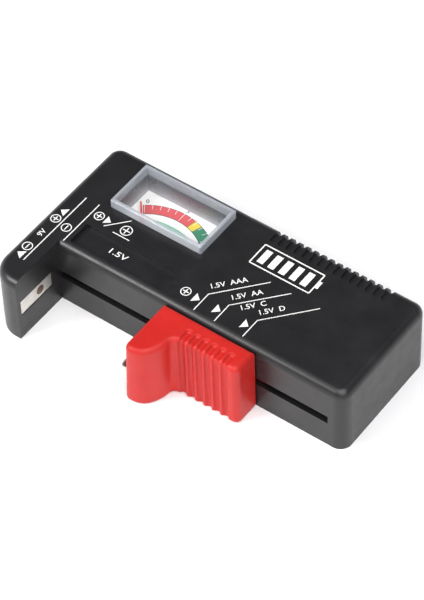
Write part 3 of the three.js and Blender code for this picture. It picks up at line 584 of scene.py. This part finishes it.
def case_cutters():
    """The window, pocket, front slot, contact recesses and screw holes."""
    studs = (NINE_VOLT_MINUS_Y, NINE_VOLT_PLUS_Y)
    window = rounded_box(*grown(WINDOW, WINDOW_GAP), WINDOW_CORNER)
    slot = rectangle(SLOT["x0"], SLOT["x1"], -BEYOND, WALL + SLOT["past_wall"])
    plate = rectangle(
        ARM_WIDTH - PLATE_RECESS["depth"], ARM_WIDTH + BEYOND, PLATE_RECESS["y0"], PLATE_RECESS["y1"]
    )
    rivet = rod("x", (RIVET_HOLE["y"], CONTACT_Z), RIVET_HOLE["radius"], RIVET_HOLE["start"], ARM_WIDTH)
    return [
        prism(window, HEIGHT - 4, HEIGHT + BEYOND),
        prism(pocket_outline(), HEIGHT - POCKET_DEPTH, HEIGHT + BEYOND),
        prism(slot, SLOT["z0"], SLOT["z1"]),
        prism(plate, PLATE_RECESS["z0"], PLATE_RECESS["z1"]),
        rivet,
        *[rod("x", (y, CONTACT_Z), STUD_RECESS["radius"], -BEYOND, STUD_RECESS["depth"], 48) for y in studs],
        *[rod("x", (y, CONTACT_Z), STUD_RECESS["hole_radius"], 0, STUD_RECESS["hole_end"]) for y in studs],
        *[rod("z", place, BOSS["hole_radius"], 0, BOSS["hole_top"], 20) for place in SCREWS],
    ]


def groove_cutter(index):
    """A round-ended groove that follows the back top edge at a constant depth."""
    half = GROOVE["width"] / 2
    centre = GROOVE["x"] + index * GROOVE["pitch"]
    inner = EDGE_FILLET - GROOVE["depth"]
    floor_z = HEIGHT - GROOVE["depth"]
    bend_y = DEPTH - EDGE_FILLET
    bend_z = HEIGHT - EDGE_FILLET
    run_end = bend_z - GROOVE["drop"]
    profile = [(GROOVE["y"] + half, floor_z), (bend_y, floor_z)]
    profile += [(bend_y + y, bend_z + z) for y, z in arc(0, 0, inner, 80, 0, 8)]
    profile += [(bend_y + inner, run_end), (DEPTH + BEYOND, run_end)]
    profile += [(DEPTH + BEYOND, HEIGHT + BEYOND), (GROOVE["y"] + half, HEIGHT + BEYOND)]
    run = loft([[(x, y, z) for y, z in profile] for x in (centre - half, centre + half)], "groove")
    end = prism(arc(centre, GROOVE["y"] + half, half, 180, 360, 12), floor_z, HEIGHT + BEYOND)
    return [run, end]


def upper_case():
    """The black shell of the body and arm, hollow inside, with all its cuts."""
    shell = temporary(filleted(body_outline), "case_upper_shell")
    boolean(shell, [arm()], "UNION")
    boolean(shell, [prism(inner_outline(), -BEYOND, HEIGHT - WALL)])
    boolean(shell, inner_supports(), "UNION")
    boolean(shell, case_cutters())
    boolean(shell, [mesh for index in range(GROOVE["count"]) for mesh in groove_cutter(index)])
    mesh = taken_from(shell)
    join_doubled_points(mesh)
    obj = new_object("case_upper_shell", mesh, BLACK, "case", ["upper_case"], 30)
    flat_faces(mesh)
    bevel(obj, CASE_BEVEL, 3, 33)


# ---- slider ----
GRIP = {"x0": 47.45, "x1": 80.05, "back": -0.3, "front": -9.05, "nose": -19.4, "z0": 0.2, "z1": 24.0}
NOSE_RADIUS = 2.2
TAIL_RADIUS = 1.9
BULB_SHOULDER = (4.9, 1.8)  # from the nose's middle and the nose's front
WAIST = (7.7, 2.4)  # from the nose's middle, and forward of the front face
FACE_START = 10.7
GRIP_LEAN = 1.2
GRIP_TOP_FILLET = 1.6
GRIP_FOOT_FILLET = 0.7
GRIP_CELL = 0.18
RIB = {"count": 6, "x": 60.9, "pitch": 2.94, "radius": 1.12, "depth": 0.92, "end_y": -5.2}
LEAF_SLOT = {"box": (45, 49.7, -17.95, -16.95), "corner": 0.2, "z0": 5.1, "z1": 12}
NECK = {"x0": 53.0, "x1": 77.0, "z0": 9.7, "z1": 12.0, "into_grip": 0.6, "back": 1.9}


def grip_outline():
    """The grip from above: a bulb at the left, a waist and a straight front face."""
    nose = GRIP["nose"]
    front = GRIP["front"]
    x = GRIP["x0"] + NOSE_RADIUS
    shoulder = (x + BULB_SHOULDER[0], nose + BULB_SHOULDER[1])
    waist = (x + WAIST[0], front - WAIST[1])
    return (
        [(GRIP["x0"], GRIP["back"])]
        + arc(x, nose + NOSE_RADIUS, NOSE_RADIUS, 180, 270, 10)
        + quadratic((x, nose), (x + 3.2, nose), shoulder)
        + quadratic(shoulder, (x + 7.3, nose + 4.6), waist)
        + quadratic(waist, (x + 7.8, front - 0.1), (x + FACE_START, front))
        + arc(GRIP["x1"] - TAIL_RADIUS, front + TAIL_RADIUS, TAIL_RADIUS, -90, 0, 8)
        + [(GRIP["x1"], GRIP["back"])]
    )


def shrunk(points, by):
    """The outline moved inwards along its corner bisectors."""
    moved = []
    count = len(points)
    for i in range(count):
        before = Vector(points[i]) - Vector(points[i - 1])
        after = Vector(points[(i + 1) % count]) - Vector(points[i])
        sides = [Vector((-d.y, d.x)).normalized() for d in (before, after)]
        bisector = (sides[0] + sides[1]).normalized()
        reach = min(by / max(bisector.dot(sides[0]), 0.4), by * 1.6)
        moved.append(tuple(Vector(points[i]) + bisector * reach))
    return moved


def leaned(x, y, z):
    """A point of the grip, moved right with height, most of all at the grip's left end."""
    share = (GRIP["x1"] - x) / (GRIP["x1"] - GRIP["x0"])
    rise = (z - GRIP["z0"]) / (GRIP["z1"] - GRIP["z0"])
    return x + GRIP_LEAN * share * rise, y, z


def grip_layers():
    """Outlines from the foot's small fillet to the top's larger one."""
    outline = grip_outline()
    layers = []
    for i in range(6):
        angle = math.radians(90 * i / 5)
        inset = GRIP_FOOT_FILLET * (1 - math.sin(angle))
        z = GRIP["z0"] + GRIP_FOOT_FILLET * (1 - math.cos(angle))
        layers.append([leaned(x, y, z) for x, y in shrunk(outline, inset)])
    for i in range(9):
        angle = math.radians(90 * i / 8)
        inset = GRIP_TOP_FILLET * (1 - math.cos(angle))
        z = GRIP["z1"] - GRIP_TOP_FILLET * (1 - math.sin(angle))
        layers.append([leaned(x, y, z) for x, y in shrunk(outline, inset)])
    return layers


def rib_grooves():
    """The finger grooves, each down the front and a short way over the top."""
    meshes = []
    offset = RIB["radius"] - RIB["depth"]
    y = GRIP["front"] - offset
    z = GRIP["z1"] + offset
    for index in range(RIB["count"]):
        x = RIB["x"] + index * RIB["pitch"]
        meshes.append(rod("z", (x, y), RIB["radius"], GRIP["z0"] - BEYOND, z, 24))
        meshes.append(rod("y", (x, z), RIB["radius"], y, RIB["end_y"], 24))
        ball = bmesh.new()
        bmesh.ops.create_uvsphere(ball, u_segments=20, v_segments=12, radius=RIB["radius"] * MM)
        bmesh.ops.translate(ball, verts=ball.verts, vec=at(x, RIB["end_y"], z))
        meshes.append(to_mesh(ball, "end"))
    return meshes


def leaf_slot():
    """The slot in the grip's left side that takes the contact leaf's tip."""
    return prism(rounded_box(*LEAF_SLOT["box"], LEAF_SLOT["corner"], 2), LEAF_SLOT["z0"], LEAF_SLOT["z1"])


def slider_grip():
    """The grip, remeshed and smoothed a little so that its grooves have soft edges."""
    made = temporary(loft(grip_layers()), "slider_grip_body")
    boolean(made, rib_grooves() + [leaf_slot()])
    remesh = made.modifiers.new("cells", "REMESH")
    remesh.mode = "VOXEL"
    remesh.voxel_size = GRIP_CELL * MM
    soften = made.modifiers.new("soften", "SMOOTH")
    soften.factor = 0.5
    soften.iterations = 4
    apply_modifiers(made)
    new_object("slider_grip_body", taken_from(made), RED, "slider", ["slider_grip"], 60)


def slider_neck():
    """The bar that joins the grip to the carriage through the front slot."""
    outline = rectangle(NECK["x0"], NECK["x1"], GRIP["back"] - NECK["into_grip"], NECK["back"])
    mesh = prism(outline, NECK["z0"], NECK["z1"], "slider_neck")
    new_object("slider_neck", mesh, RED, "slider")


# ---- meter ----
LENS_TOP = HEIGHT + 2.75
LENS_WALL = 1.1
LENS_CHAMFER = 0.3
LENS_CORNER = 0.5
LENS_TOP_CORNER = 0.3
LENS_HOLE_CORNER = 0.4
LENS_SKIRT_FOOT = 19.6
RIM_FOOT = HEIGHT - 1.4
RIM_BEVEL = 0.08
PANE = {"thickness": 1.2, "corner": 0.5, "gap": 0.03, "sunk": 0.02}
HAIRLINE = 0.02
LINER_BOX = {"gap": 0.04, "thickness": 0.5, "foot_gap": 0.05, "top_gap": 0.1}
DIAL_TOP = 18.0


def frame_ring(outer, inner, z0, z1, chamfer=0.0, name="ring"):
    """A rectangular tube between two rounded rectangles; the outer top edge may be chamfered."""
    hole = rounded_box(*inner, LENS_HOLE_CORNER)
    edge = rounded_box(*outer, LENS_CORNER)
    levels = [(hole, z0), (edge, z0), (edge, z1 - chamfer)]
    if chamfer:
        levels.append((rounded_box(*grown(outer, -chamfer), LENS_TOP_CORNER), z1))
    levels.append((hole, z1))
    return swept_loop([[(x, y, z) for x, y in points] for points, z in levels], name)


def meter_lens():
    """The clear cap: a flat pane in a chamfered rim, and a skirt that reaches down to the dial."""
    inside = grown(WINDOW, -LENS_WALL)
    pane_outline = rounded_box(*grown(WINDOW, -LENS_WALL - PANE["gap"]), PANE["corner"])
    pane = prism(pane_outline, LENS_TOP - PANE["thickness"], LENS_TOP - PANE["sunk"], "lens_pane")
    new_object("lens_pane", pane, CLEAR, "case", ["meter_lens"])
    rim = frame_ring(WINDOW, inside, RIM_FOOT, LENS_TOP, LENS_CHAMFER, "lens_rim")
    rim_object = new_object("lens_rim", rim, RIM, "case", ["meter_lens"])
    bevel(rim_object, RIM_BEVEL, 2, 20)
    skirt_top = RIM_FOOT - HAIRLINE
    skirt = frame_ring(grown(WINDOW, -HAIRLINE), inside, LENS_SKIRT_FOOT, skirt_top, name="lens_skirt")
    new_object("lens_skirt", skirt, CLEAR, "case", ["meter_lens"])


def meter_liner():
    """The grey inner walls round the back and the sides of the dial."""
    x0, x1, y0, y1 = grown(WINDOW, -LENS_WALL - LINER_BOX["gap"])
    thickness = LINER_BOX["thickness"]
    inner = [(x0 + thickness, y0), (x0 + thickness, y1 - thickness)]
    inner += [(x1 - thickness, y1 - thickness), (x1 - thickness, y0)]
    outline = [(x0, y0), *inner, (x1, y0), (x1, y1), (x0, y1)]
    mesh = prism(outline, DIAL_TOP + LINER_BOX["foot_gap"], HEIGHT - LINER_BOX["top_gap"], "meter_liner")
    new_object("meter_liner", mesh, LINER, "case")


# ---- dial ----
PIVOT = (30.0, 14.0)
SCALE = {"inner": 16.9, "outer": 20.2, "outline": 0.16, "start": -37.3, "end": 37.6}
SCALE_BANDS = (
    ("scale_red", -36.9, 12.0, INK_RED),
    ("scale_yellow", 12.4, 20.0, INK_YELLOW),
    ("scale_green", 20.4, 37.2, INK_GREEN),
)
OUTLINE_Z = DIAL_TOP + 0.02
BAND_Z = OUTLINE_Z + 0.04
TICK_Z = BAND_Z + 0.04
DIAL_INK = 0.03
TICK = {"count": 11, "start": -36, "step": 7.2, "half_width": 0.22, "long": 0.2, "short": 1.8, "past": 0.1}
MINT = {"centre": (30.2, 5.5), "radius": 22.6, "start": 106, "end": 74, "foot": 26.3, "x0": 24.3, "x1": 36.2}
NUMERALS = (("0", -33.5), ("5", 0.5))
NUMERAL_REACH = 21.7
NUMERAL_HEIGHT = 1.5


def on_dial(radius, angle):
    """A place at a radius from the pivot; the angle in degrees runs from +Y towards +X."""
    turn = math.radians(angle)
    return PIVOT[0] + radius * math.sin(turn), PIVOT[1] + radius * math.cos(turn)


def band(radius0, radius1, start, end, z, steps=40):
    """A flat printed band about the pivot."""
    angles = [start + (end - start) * i / steps for i in range(steps + 1)]
    inner = [on_dial(radius0, a) for a in angles]
    outer = [on_dial(radius1, a) for a in reversed(angles)]
    return prism(inner + outer, z, z + DIAL_INK, "band")


def scale_ticks():
    """Ticks at equal steps, every fifth one long."""
    ticks = []
    for i in range(TICK["count"]):
        angle = TICK["start"] + TICK["step"] * i
        start = SCALE["inner"] + (TICK["long"] if i % 5 == 0 else TICK["short"])
        end = SCALE["outer"] + TICK["past"]
        ticks.append(band(start, end, angle - TICK["half_width"], angle + TICK["half_width"], TICK_Z, 2))
    return merged(ticks, "scale_ticks")


def dial():
    """The printed card: a red, yellow and green scale over a mint arc, with graduation ticks."""
    rim = SCALE["outline"]
    outline = band(SCALE["inner"] - rim, SCALE["outer"] + rim, SCALE["start"], SCALE["end"], OUTLINE_Z)
    new_object("scale_outline", outline, INK_DARK, "case")
    for name, start, end, ink in SCALE_BANDS:
        stretch = band(SCALE["inner"], SCALE["outer"], start, end, BAND_Z)
        new_object(name, stretch, ink, "case")
    crescent = arc(*MINT["centre"], MINT["radius"], MINT["start"], MINT["end"], 24)
    crescent += [(MINT["x1"], MINT["foot"]), (MINT["x0"], MINT["foot"])]
    mint = prism(crescent, BAND_Z - DIAL_INK, BAND_Z, "scale_mint")
    new_object("scale_mint", mint, INK_MINT, "case")
    new_object("scale_ticks", scale_ticks(), INK_WHITE, "case")
    for text, angle in NUMERALS:
        place = (*on_dial(NUMERAL_REACH, angle), DIAL_TOP + DIAL_INK)
        lettering(f"scale_numeral_{text}", text, place, NUMERAL_HEIGHT, -angle, INK_DARK)


# ---- prints ----
PRINT_LIFT = 0.012
PRINT_HEIGHT = 0.014
PRINT_Z = HEIGHT + PRINT_LIFT
POCKET_PRINT_Z = HEIGHT - POCKET_DEPTH + PRINT_LIFT
LAP = 0.001  # keeps two overlapping prints out of one plane
RULE_WIDTH = 0.32
LINE_WIDTH = 0.3
SIGN = {"radius": 1.62, "ring": 0.3, "clearance": 0.35, "bar": 0.34, "steps": 40}
TEXT_HEIGHT = 1.75
LEFT_RULES = (((6.2, -10.65), (6.2, 18.6)), ((11.0, 1.66), (11.0, 18.6)))
SIGNS = (
    ((3.84, -5.88), "-", 90), ((3.87, 7.14), "+", 0), ((8.59, 6.10), "-", 90),
    ((13.68, 15.08), "+", 0), ((51.37, 6.34), "+", 0),
)
LEFT_ARROWS = (
    ((2.8, -9.2), (4.9, -10.9), (5.0, -7.6)),
    ((2.97, 10.63), (5.01, 9.03), (5.06, 12.25)),
    ((16.0, 13.5), (18.0, 15.0), (16.0, 16.6)),
)
LEADER_TIPS = (56.5, 63.75, 73.4)
LEADER_ARROW = {"length": 2.05, "y": 5.95, "half": 1.75}
LEADERS = ((57.2, (69.0, 22.8)), (64.35, (76.2, 22.7)), (74.15, (86.0, 22.75)))
LEADER_Y = {"foot": 2.1, "bend": 9.2, "overlap": 0.05}
SMALL_CELL_LEADER = ((17.0, 12.7), (22.5, 18.9))
NINE_VOLT_MARK = (4.0, 0.5)
SIZE_TURN = 49
SIZE_MARKS = (
    ("1.5V  AAA", 56.4, 11.0),
    ("1.5V  AA", 63.7, 11.0),
    ("1.5V  C", 68.0, 9.4),
    ("1.5V  D", 73.3, 10.9),
)
POCKET_MARK = {"place": (26.3, 7.2), "height": 1.9, "squeeze": 1.35}
CELL = {"x0": 59.5, "x1": 80.1, "y0": 25.6, "y1": 33.6, "line": 0.42}
CELL_KNOB = {"x": 0.65, "inset": 2.6, "width": 0.9}
CELL_BAR = {"count": 5, "x": 2.6, "pitch": 3.7, "inset": 1.3, "width": 2.1}
BUTTON_CELL = {"centre": (23.6, 15.0), "radius": 1.9, "line": ((20.6, 12.4), (26.6, 12.4))}
FONT_CAP_SHARE = 0.69
INK_DEPTH = 0.006
INK_SPREAD = 0.012


def lettering(name, text, place, cap, turn, material, left=False, squeeze=1.0):
    """Printed text of a cap height in mm, turned anticlockwise in degrees, as a thin mesh.

    Its place is its middle, or the left end of its baseline.
    """
    curve = bpy.data.curves.new(name, "FONT")
    curve.body = text
    curve.size = cap * MM / FONT_CAP_SHARE
    curve.align_x = "LEFT" if left else "CENTER"
    curve.align_y = "BOTTOM_BASELINE" if left else "CENTER"
    curve.extrude = INK_DEPTH * MM
    curve.resolution_u = 4
    curve.offset = cap * MM * INK_SPREAD
    made = bpy.data.objects.new(name, curve)
    bpy.context.scene.collection.objects.link(made)
    bpy.context.view_layer.update()
    mesh = bpy.data.meshes.new_from_object(made.evaluated_get(bpy.context.evaluated_depsgraph_get()))
    bpy.data.objects.remove(made)
    turned = Matrix.Rotation(math.radians(turn), 4, "Z") @ Matrix.Diagonal((squeeze, 1, 1, 1))
    mesh.transform(Matrix.Translation(at(*place)) @ turned)
    mesh.materials.clear()
    new_object(name, mesh, material, "case")


def stroke(start, end, width, z=PRINT_Z):
    """A thin printed line between two places on the top."""
    along = (Vector(end) - Vector(start)).normalized()
    side = Vector((-along.y, along.x)) * width / 2
    corners = [Vector(start) - side, Vector(end) - side, Vector(end) + side, Vector(start) + side]
    return prism([tuple(c) for c in corners], z, z + PRINT_HEIGHT, "stroke")


def triangle(points):
    return prism(points, PRINT_Z, PRINT_Z + PRINT_HEIGHT, "triangle")


def circle_print(centre, radius, width):
    """A thin printed circle line."""
    steps = SIGN["steps"]
    outer = arc(*centre, radius, 0, 360, steps)[:steps]
    inner = arc(*centre, radius - width, 0, 360, steps)[:steps]
    top = PRINT_Z + PRINT_HEIGHT
    levels = ((outer, PRINT_Z), (outer, top), (inner, top), (inner, PRINT_Z))
    return swept_loop([[(x, y, z) for x, y in points] for points, z in levels], "ring")


def printed_sign(centre, sign, turn=0.0, radius=SIGN["radius"]):
    """A plus or minus sign inside a printed circle."""
    reach = radius - SIGN["ring"] - SIGN["clearance"]
    middle = Vector(centre)
    direction = Vector((math.cos(math.radians(turn)), math.sin(math.radians(turn)))) * reach
    meshes = [circle_print(centre, radius, SIGN["ring"])]
    meshes.append(stroke(middle - direction, middle + direction, SIGN["bar"]))
    if sign == "+":
        across = Vector((-direction.y, direction.x))
        meshes.append(stroke(middle - across, middle + across, SIGN["bar"], PRINT_Z + LAP))
    return meshes


def leader_arrow(tip):
    back = tip - LEADER_ARROW["length"]
    y = LEADER_ARROW["y"]
    half = LEADER_ARROW["half"]
    return [(back, y - half), (tip, y), (back, y + half)]


def leader_lines():
    """The bent guide lines from the front edge to the size marks, and the small cell's line."""
    lines = []
    bend = LEADER_Y["bend"]
    for x, top in LEADERS:
        lines.append(stroke((x, LEADER_Y["foot"]), (x, bend), LINE_WIDTH))
        lines.append(stroke((x, bend - LEADER_Y["overlap"]), top, LINE_WIDTH))
    lines.append(stroke(*SMALL_CELL_LEADER, LINE_WIDTH))
    return lines


def printed_piece(name, meshes):
    new_object(name, merged(meshes, name), INK_WHITE, "case")


def top_prints():
    """The white guide lines, arrows and polarity signs on the top, and the generic size marks."""
    printed_piece("print_left_rules", [stroke(*ends, RULE_WIDTH) for ends in LEFT_RULES])
    signs = [mesh for centre, sign, turn in SIGNS for mesh in printed_sign(centre, sign, turn)]
    printed_piece("print_signs", signs)
    arrows = [*LEFT_ARROWS, *[leader_arrow(tip) for tip in LEADER_TIPS]]
    printed_piece("print_arrows", [triangle(points) for points in arrows])
    printed_piece("print_leaders", leader_lines())
    lettering("print_nine_volt", "9V", (*NINE_VOLT_MARK, PRINT_Z), TEXT_HEIGHT, 90, INK_WHITE)
    for index, (text, x, y) in enumerate(SIZE_MARKS):
        place = (x, y, PRINT_Z)
        lettering(f"print_size_{index}", text, place, TEXT_HEIGHT, SIZE_TURN, INK_WHITE, left=True)
    lettering(
        "print_pocket", "1.5V", (*POCKET_MARK["place"], POCKET_PRINT_Z), POCKET_MARK["height"], 0,
        INK_WHITE, squeeze=POCKET_MARK["squeeze"],
    )


def cell_level():
    """A generic cell seen from the side, with five level bars."""
    x0, x1, y0, y1 = CELL["x0"], CELL["x1"], CELL["y0"], CELL["y1"]
    corners = rectangle(x0, x1, y0, y1)
    meshes = [
        stroke(corner, corners[(i + 1) % 4], CELL["line"], PRINT_Z + LAP * i)
        for i, corner in enumerate(corners)
    ]
    knob_x = x1 + CELL_KNOB["x"]
    inset = CELL_KNOB["inset"]
    meshes.append(stroke((knob_x, y0 + inset), (knob_x, y1 - inset), CELL_KNOB["width"]))
    for i in range(CELL_BAR["count"]):
        x = x0 + CELL_BAR["x"] + i * CELL_BAR["pitch"]
        ends = ((x, y0 + CELL_BAR["inset"]), (x, y1 - CELL_BAR["inset"]))
        meshes.append(stroke(*ends, CELL_BAR["width"]))
    return meshes


def pictograms():
    """The cell with its level bars near the back, and a button cell on a line near the pocket."""
    printed_piece("print_cell_level", cell_level())
    button_cell = printed_sign(BUTTON_CELL["centre"], "+", radius=BUTTON_CELL["radius"])
    button_cell.append(stroke(*BUTTON_CELL["line"], LINE_WIDTH))
    printed_piece("print_button_cell", button_cell)


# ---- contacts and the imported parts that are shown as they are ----
CUP_PROFILE = ((2.4, 0.35), (2.9, 0.12), (3.35, 0.02), (3.75, 0.06), (3.95, 0.24), (4.0, 0.7))
CUP_STEPS = 56
PLASTIC_SLOTS = ("black_case", "red_plastic", "white_plastic")
PLASTIC_BEVEL = 0.12
METAL_BEVEL = 0.06


def nickel_cup(name, y, node):
    """A nine-volt stud contact with a rolled rim and a sunk centre."""
    angles = [math.tau * i / CUP_STEPS for i in range(CUP_STEPS)]
    layers = [
        [(depth, y + radius * math.cos(a), CONTACT_Z + radius * math.sin(a)) for a in angles]
        for radius, depth in CUP_PROFILE
    ]
    new_object(name, loft(layers, name), NICKEL, "case", [node], 50)


def carried_over():
    """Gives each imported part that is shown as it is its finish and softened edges."""
    slots = {subpart["node"]: subpart["material_slot"] for subpart in frame["record"]["subparts"]}
    for name, obj in frame["nodes"].items():
        slot = slots[name]
        obj.data.materials.clear()
        obj.data.materials.append(TARNISHED if name == "fixed_contact_rivet" else SLOT_LOOKS[slot])
        obj.modifiers.new("weld", "WELD").merge_threshold = 0.01 * MM
        bevel(obj, PLASTIC_BEVEL if slot in PLASTIC_SLOTS else METAL_BEVEL, 2, 34)


# ---- stage ----
FLOOR = {"half": 1500, "z0": -1.02, "z1": -0.02}
CAMERA = {
    "target": (-0.0022, 0.0053, 0.012), "azimuth": 38.09, "elevation": 49.30, "distance": 0.794,
    "roll": -2.37, "lens": 166.05, "sensor": 36, "near": 0.01,
}
HORIZON = {"height": 0.02, "colour": (1, 1, 1, 1)}
ZENITH = {"height": 0.5, "colour": (0.16, 0.16, 0.17, 1)}


def floor():
    half = FLOOR["half"]
    mesh = prism(rectangle(-half, half, -half, half), FLOOR["z0"], FLOOR["z1"], "floor")
    obj = bpy.data.objects.new("floor", mesh)
    bpy.context.scene.collection.objects.link(obj)
    mesh.materials.append(pale_paper("pale_paper"))


def area_light(name, place, size, power):
    """A rectangular softbox that faces the middle of the part's underside."""
    data = bpy.data.lights.new(name, "AREA")
    data.shape = "RECTANGLE"
    data.size, data.size_y = size
    data.energy = power
    obj = bpy.data.objects.new(name, data)
    bpy.context.scene.collection.objects.link(obj)
    obj.location = place
    obj.rotation_euler = (-Vector(place)).to_track_quat("-Z", "Y").to_euler()


def world_light():
    """A dim room above, paler towards the horizon."""
    world = bpy.data.worlds.new("soft_room")
    world.use_nodes = True
    tree = world.node_tree
    background = tree.nodes["Background"]
    place = tree.nodes.new("ShaderNodeTexCoord")
    split = tree.nodes.new("ShaderNodeSeparateXYZ")
    ramp = tree.nodes.new("ShaderNodeValToRGB")
    for element, end in zip(ramp.color_ramp.elements, (HORIZON, ZENITH)):
        element.position = end["height"]
        element.color = end["colour"]
    tree.links.new(place.outputs["Generated"], split.inputs["Vector"])
    tree.links.new(split.outputs["Z"], ramp.inputs["Fac"])
    tree.links.new(ramp.outputs["Color"], background.inputs["Color"])
    background.inputs["Strength"].default_value = 1.0
    bpy.context.scene.world = world


def camera():
    """A long lens that looks down on the front right of the part."""
    a = math.radians(CAMERA["azimuth"])
    e = math.radians(CAMERA["elevation"])
    back = Vector((math.sin(a) * math.cos(e), -math.cos(a) * math.cos(e), math.sin(e)))
    data = bpy.data.cameras.new("camera")
    data.lens = CAMERA["lens"]
    data.sensor_width = CAMERA["sensor"]
    data.clip_start = CAMERA["near"]
    obj = bpy.data.objects.new("camera", data)
    bpy.context.scene.collection.objects.link(obj)
    stand = Matrix.Translation(Vector(CAMERA["target"]) + back * CAMERA["distance"])
    turn = (-back).to_track_quat("-Z", "Y").to_matrix().to_4x4()
    obj.matrix_world = stand @ turn @ Matrix.Rotation(math.radians(CAMERA["roll"]), 4, "Z")
    bpy.context.scene.camera = obj


upper_case()
slider_grip()
slider_neck()
meter_lens()
meter_liner()
dial()
top_prints()
pictograms()
nickel_cup("nine_volt_cup_minus", NINE_VOLT_MINUS_Y, "nine_volt_contact_minus")
nickel_cup("nine_volt_cup_plus", NINE_VOLT_PLUS_Y, "nine_volt_contact_plus")
carried_over()

floor()
area_light("front_left_softbox", (-0.5, -0.55, 0.6), (0.4, 0.35), 6)
area_light("front_right_softbox", (0.75, -0.55, 0.75), (0.9, 0.7), 3)
area_light("top_softbox", (0.35, -0.3, 1.2), (1.2, 1.2), 17)
world_light()
camera()
bpy.context.scene.view_settings.view_transform = "Standard"
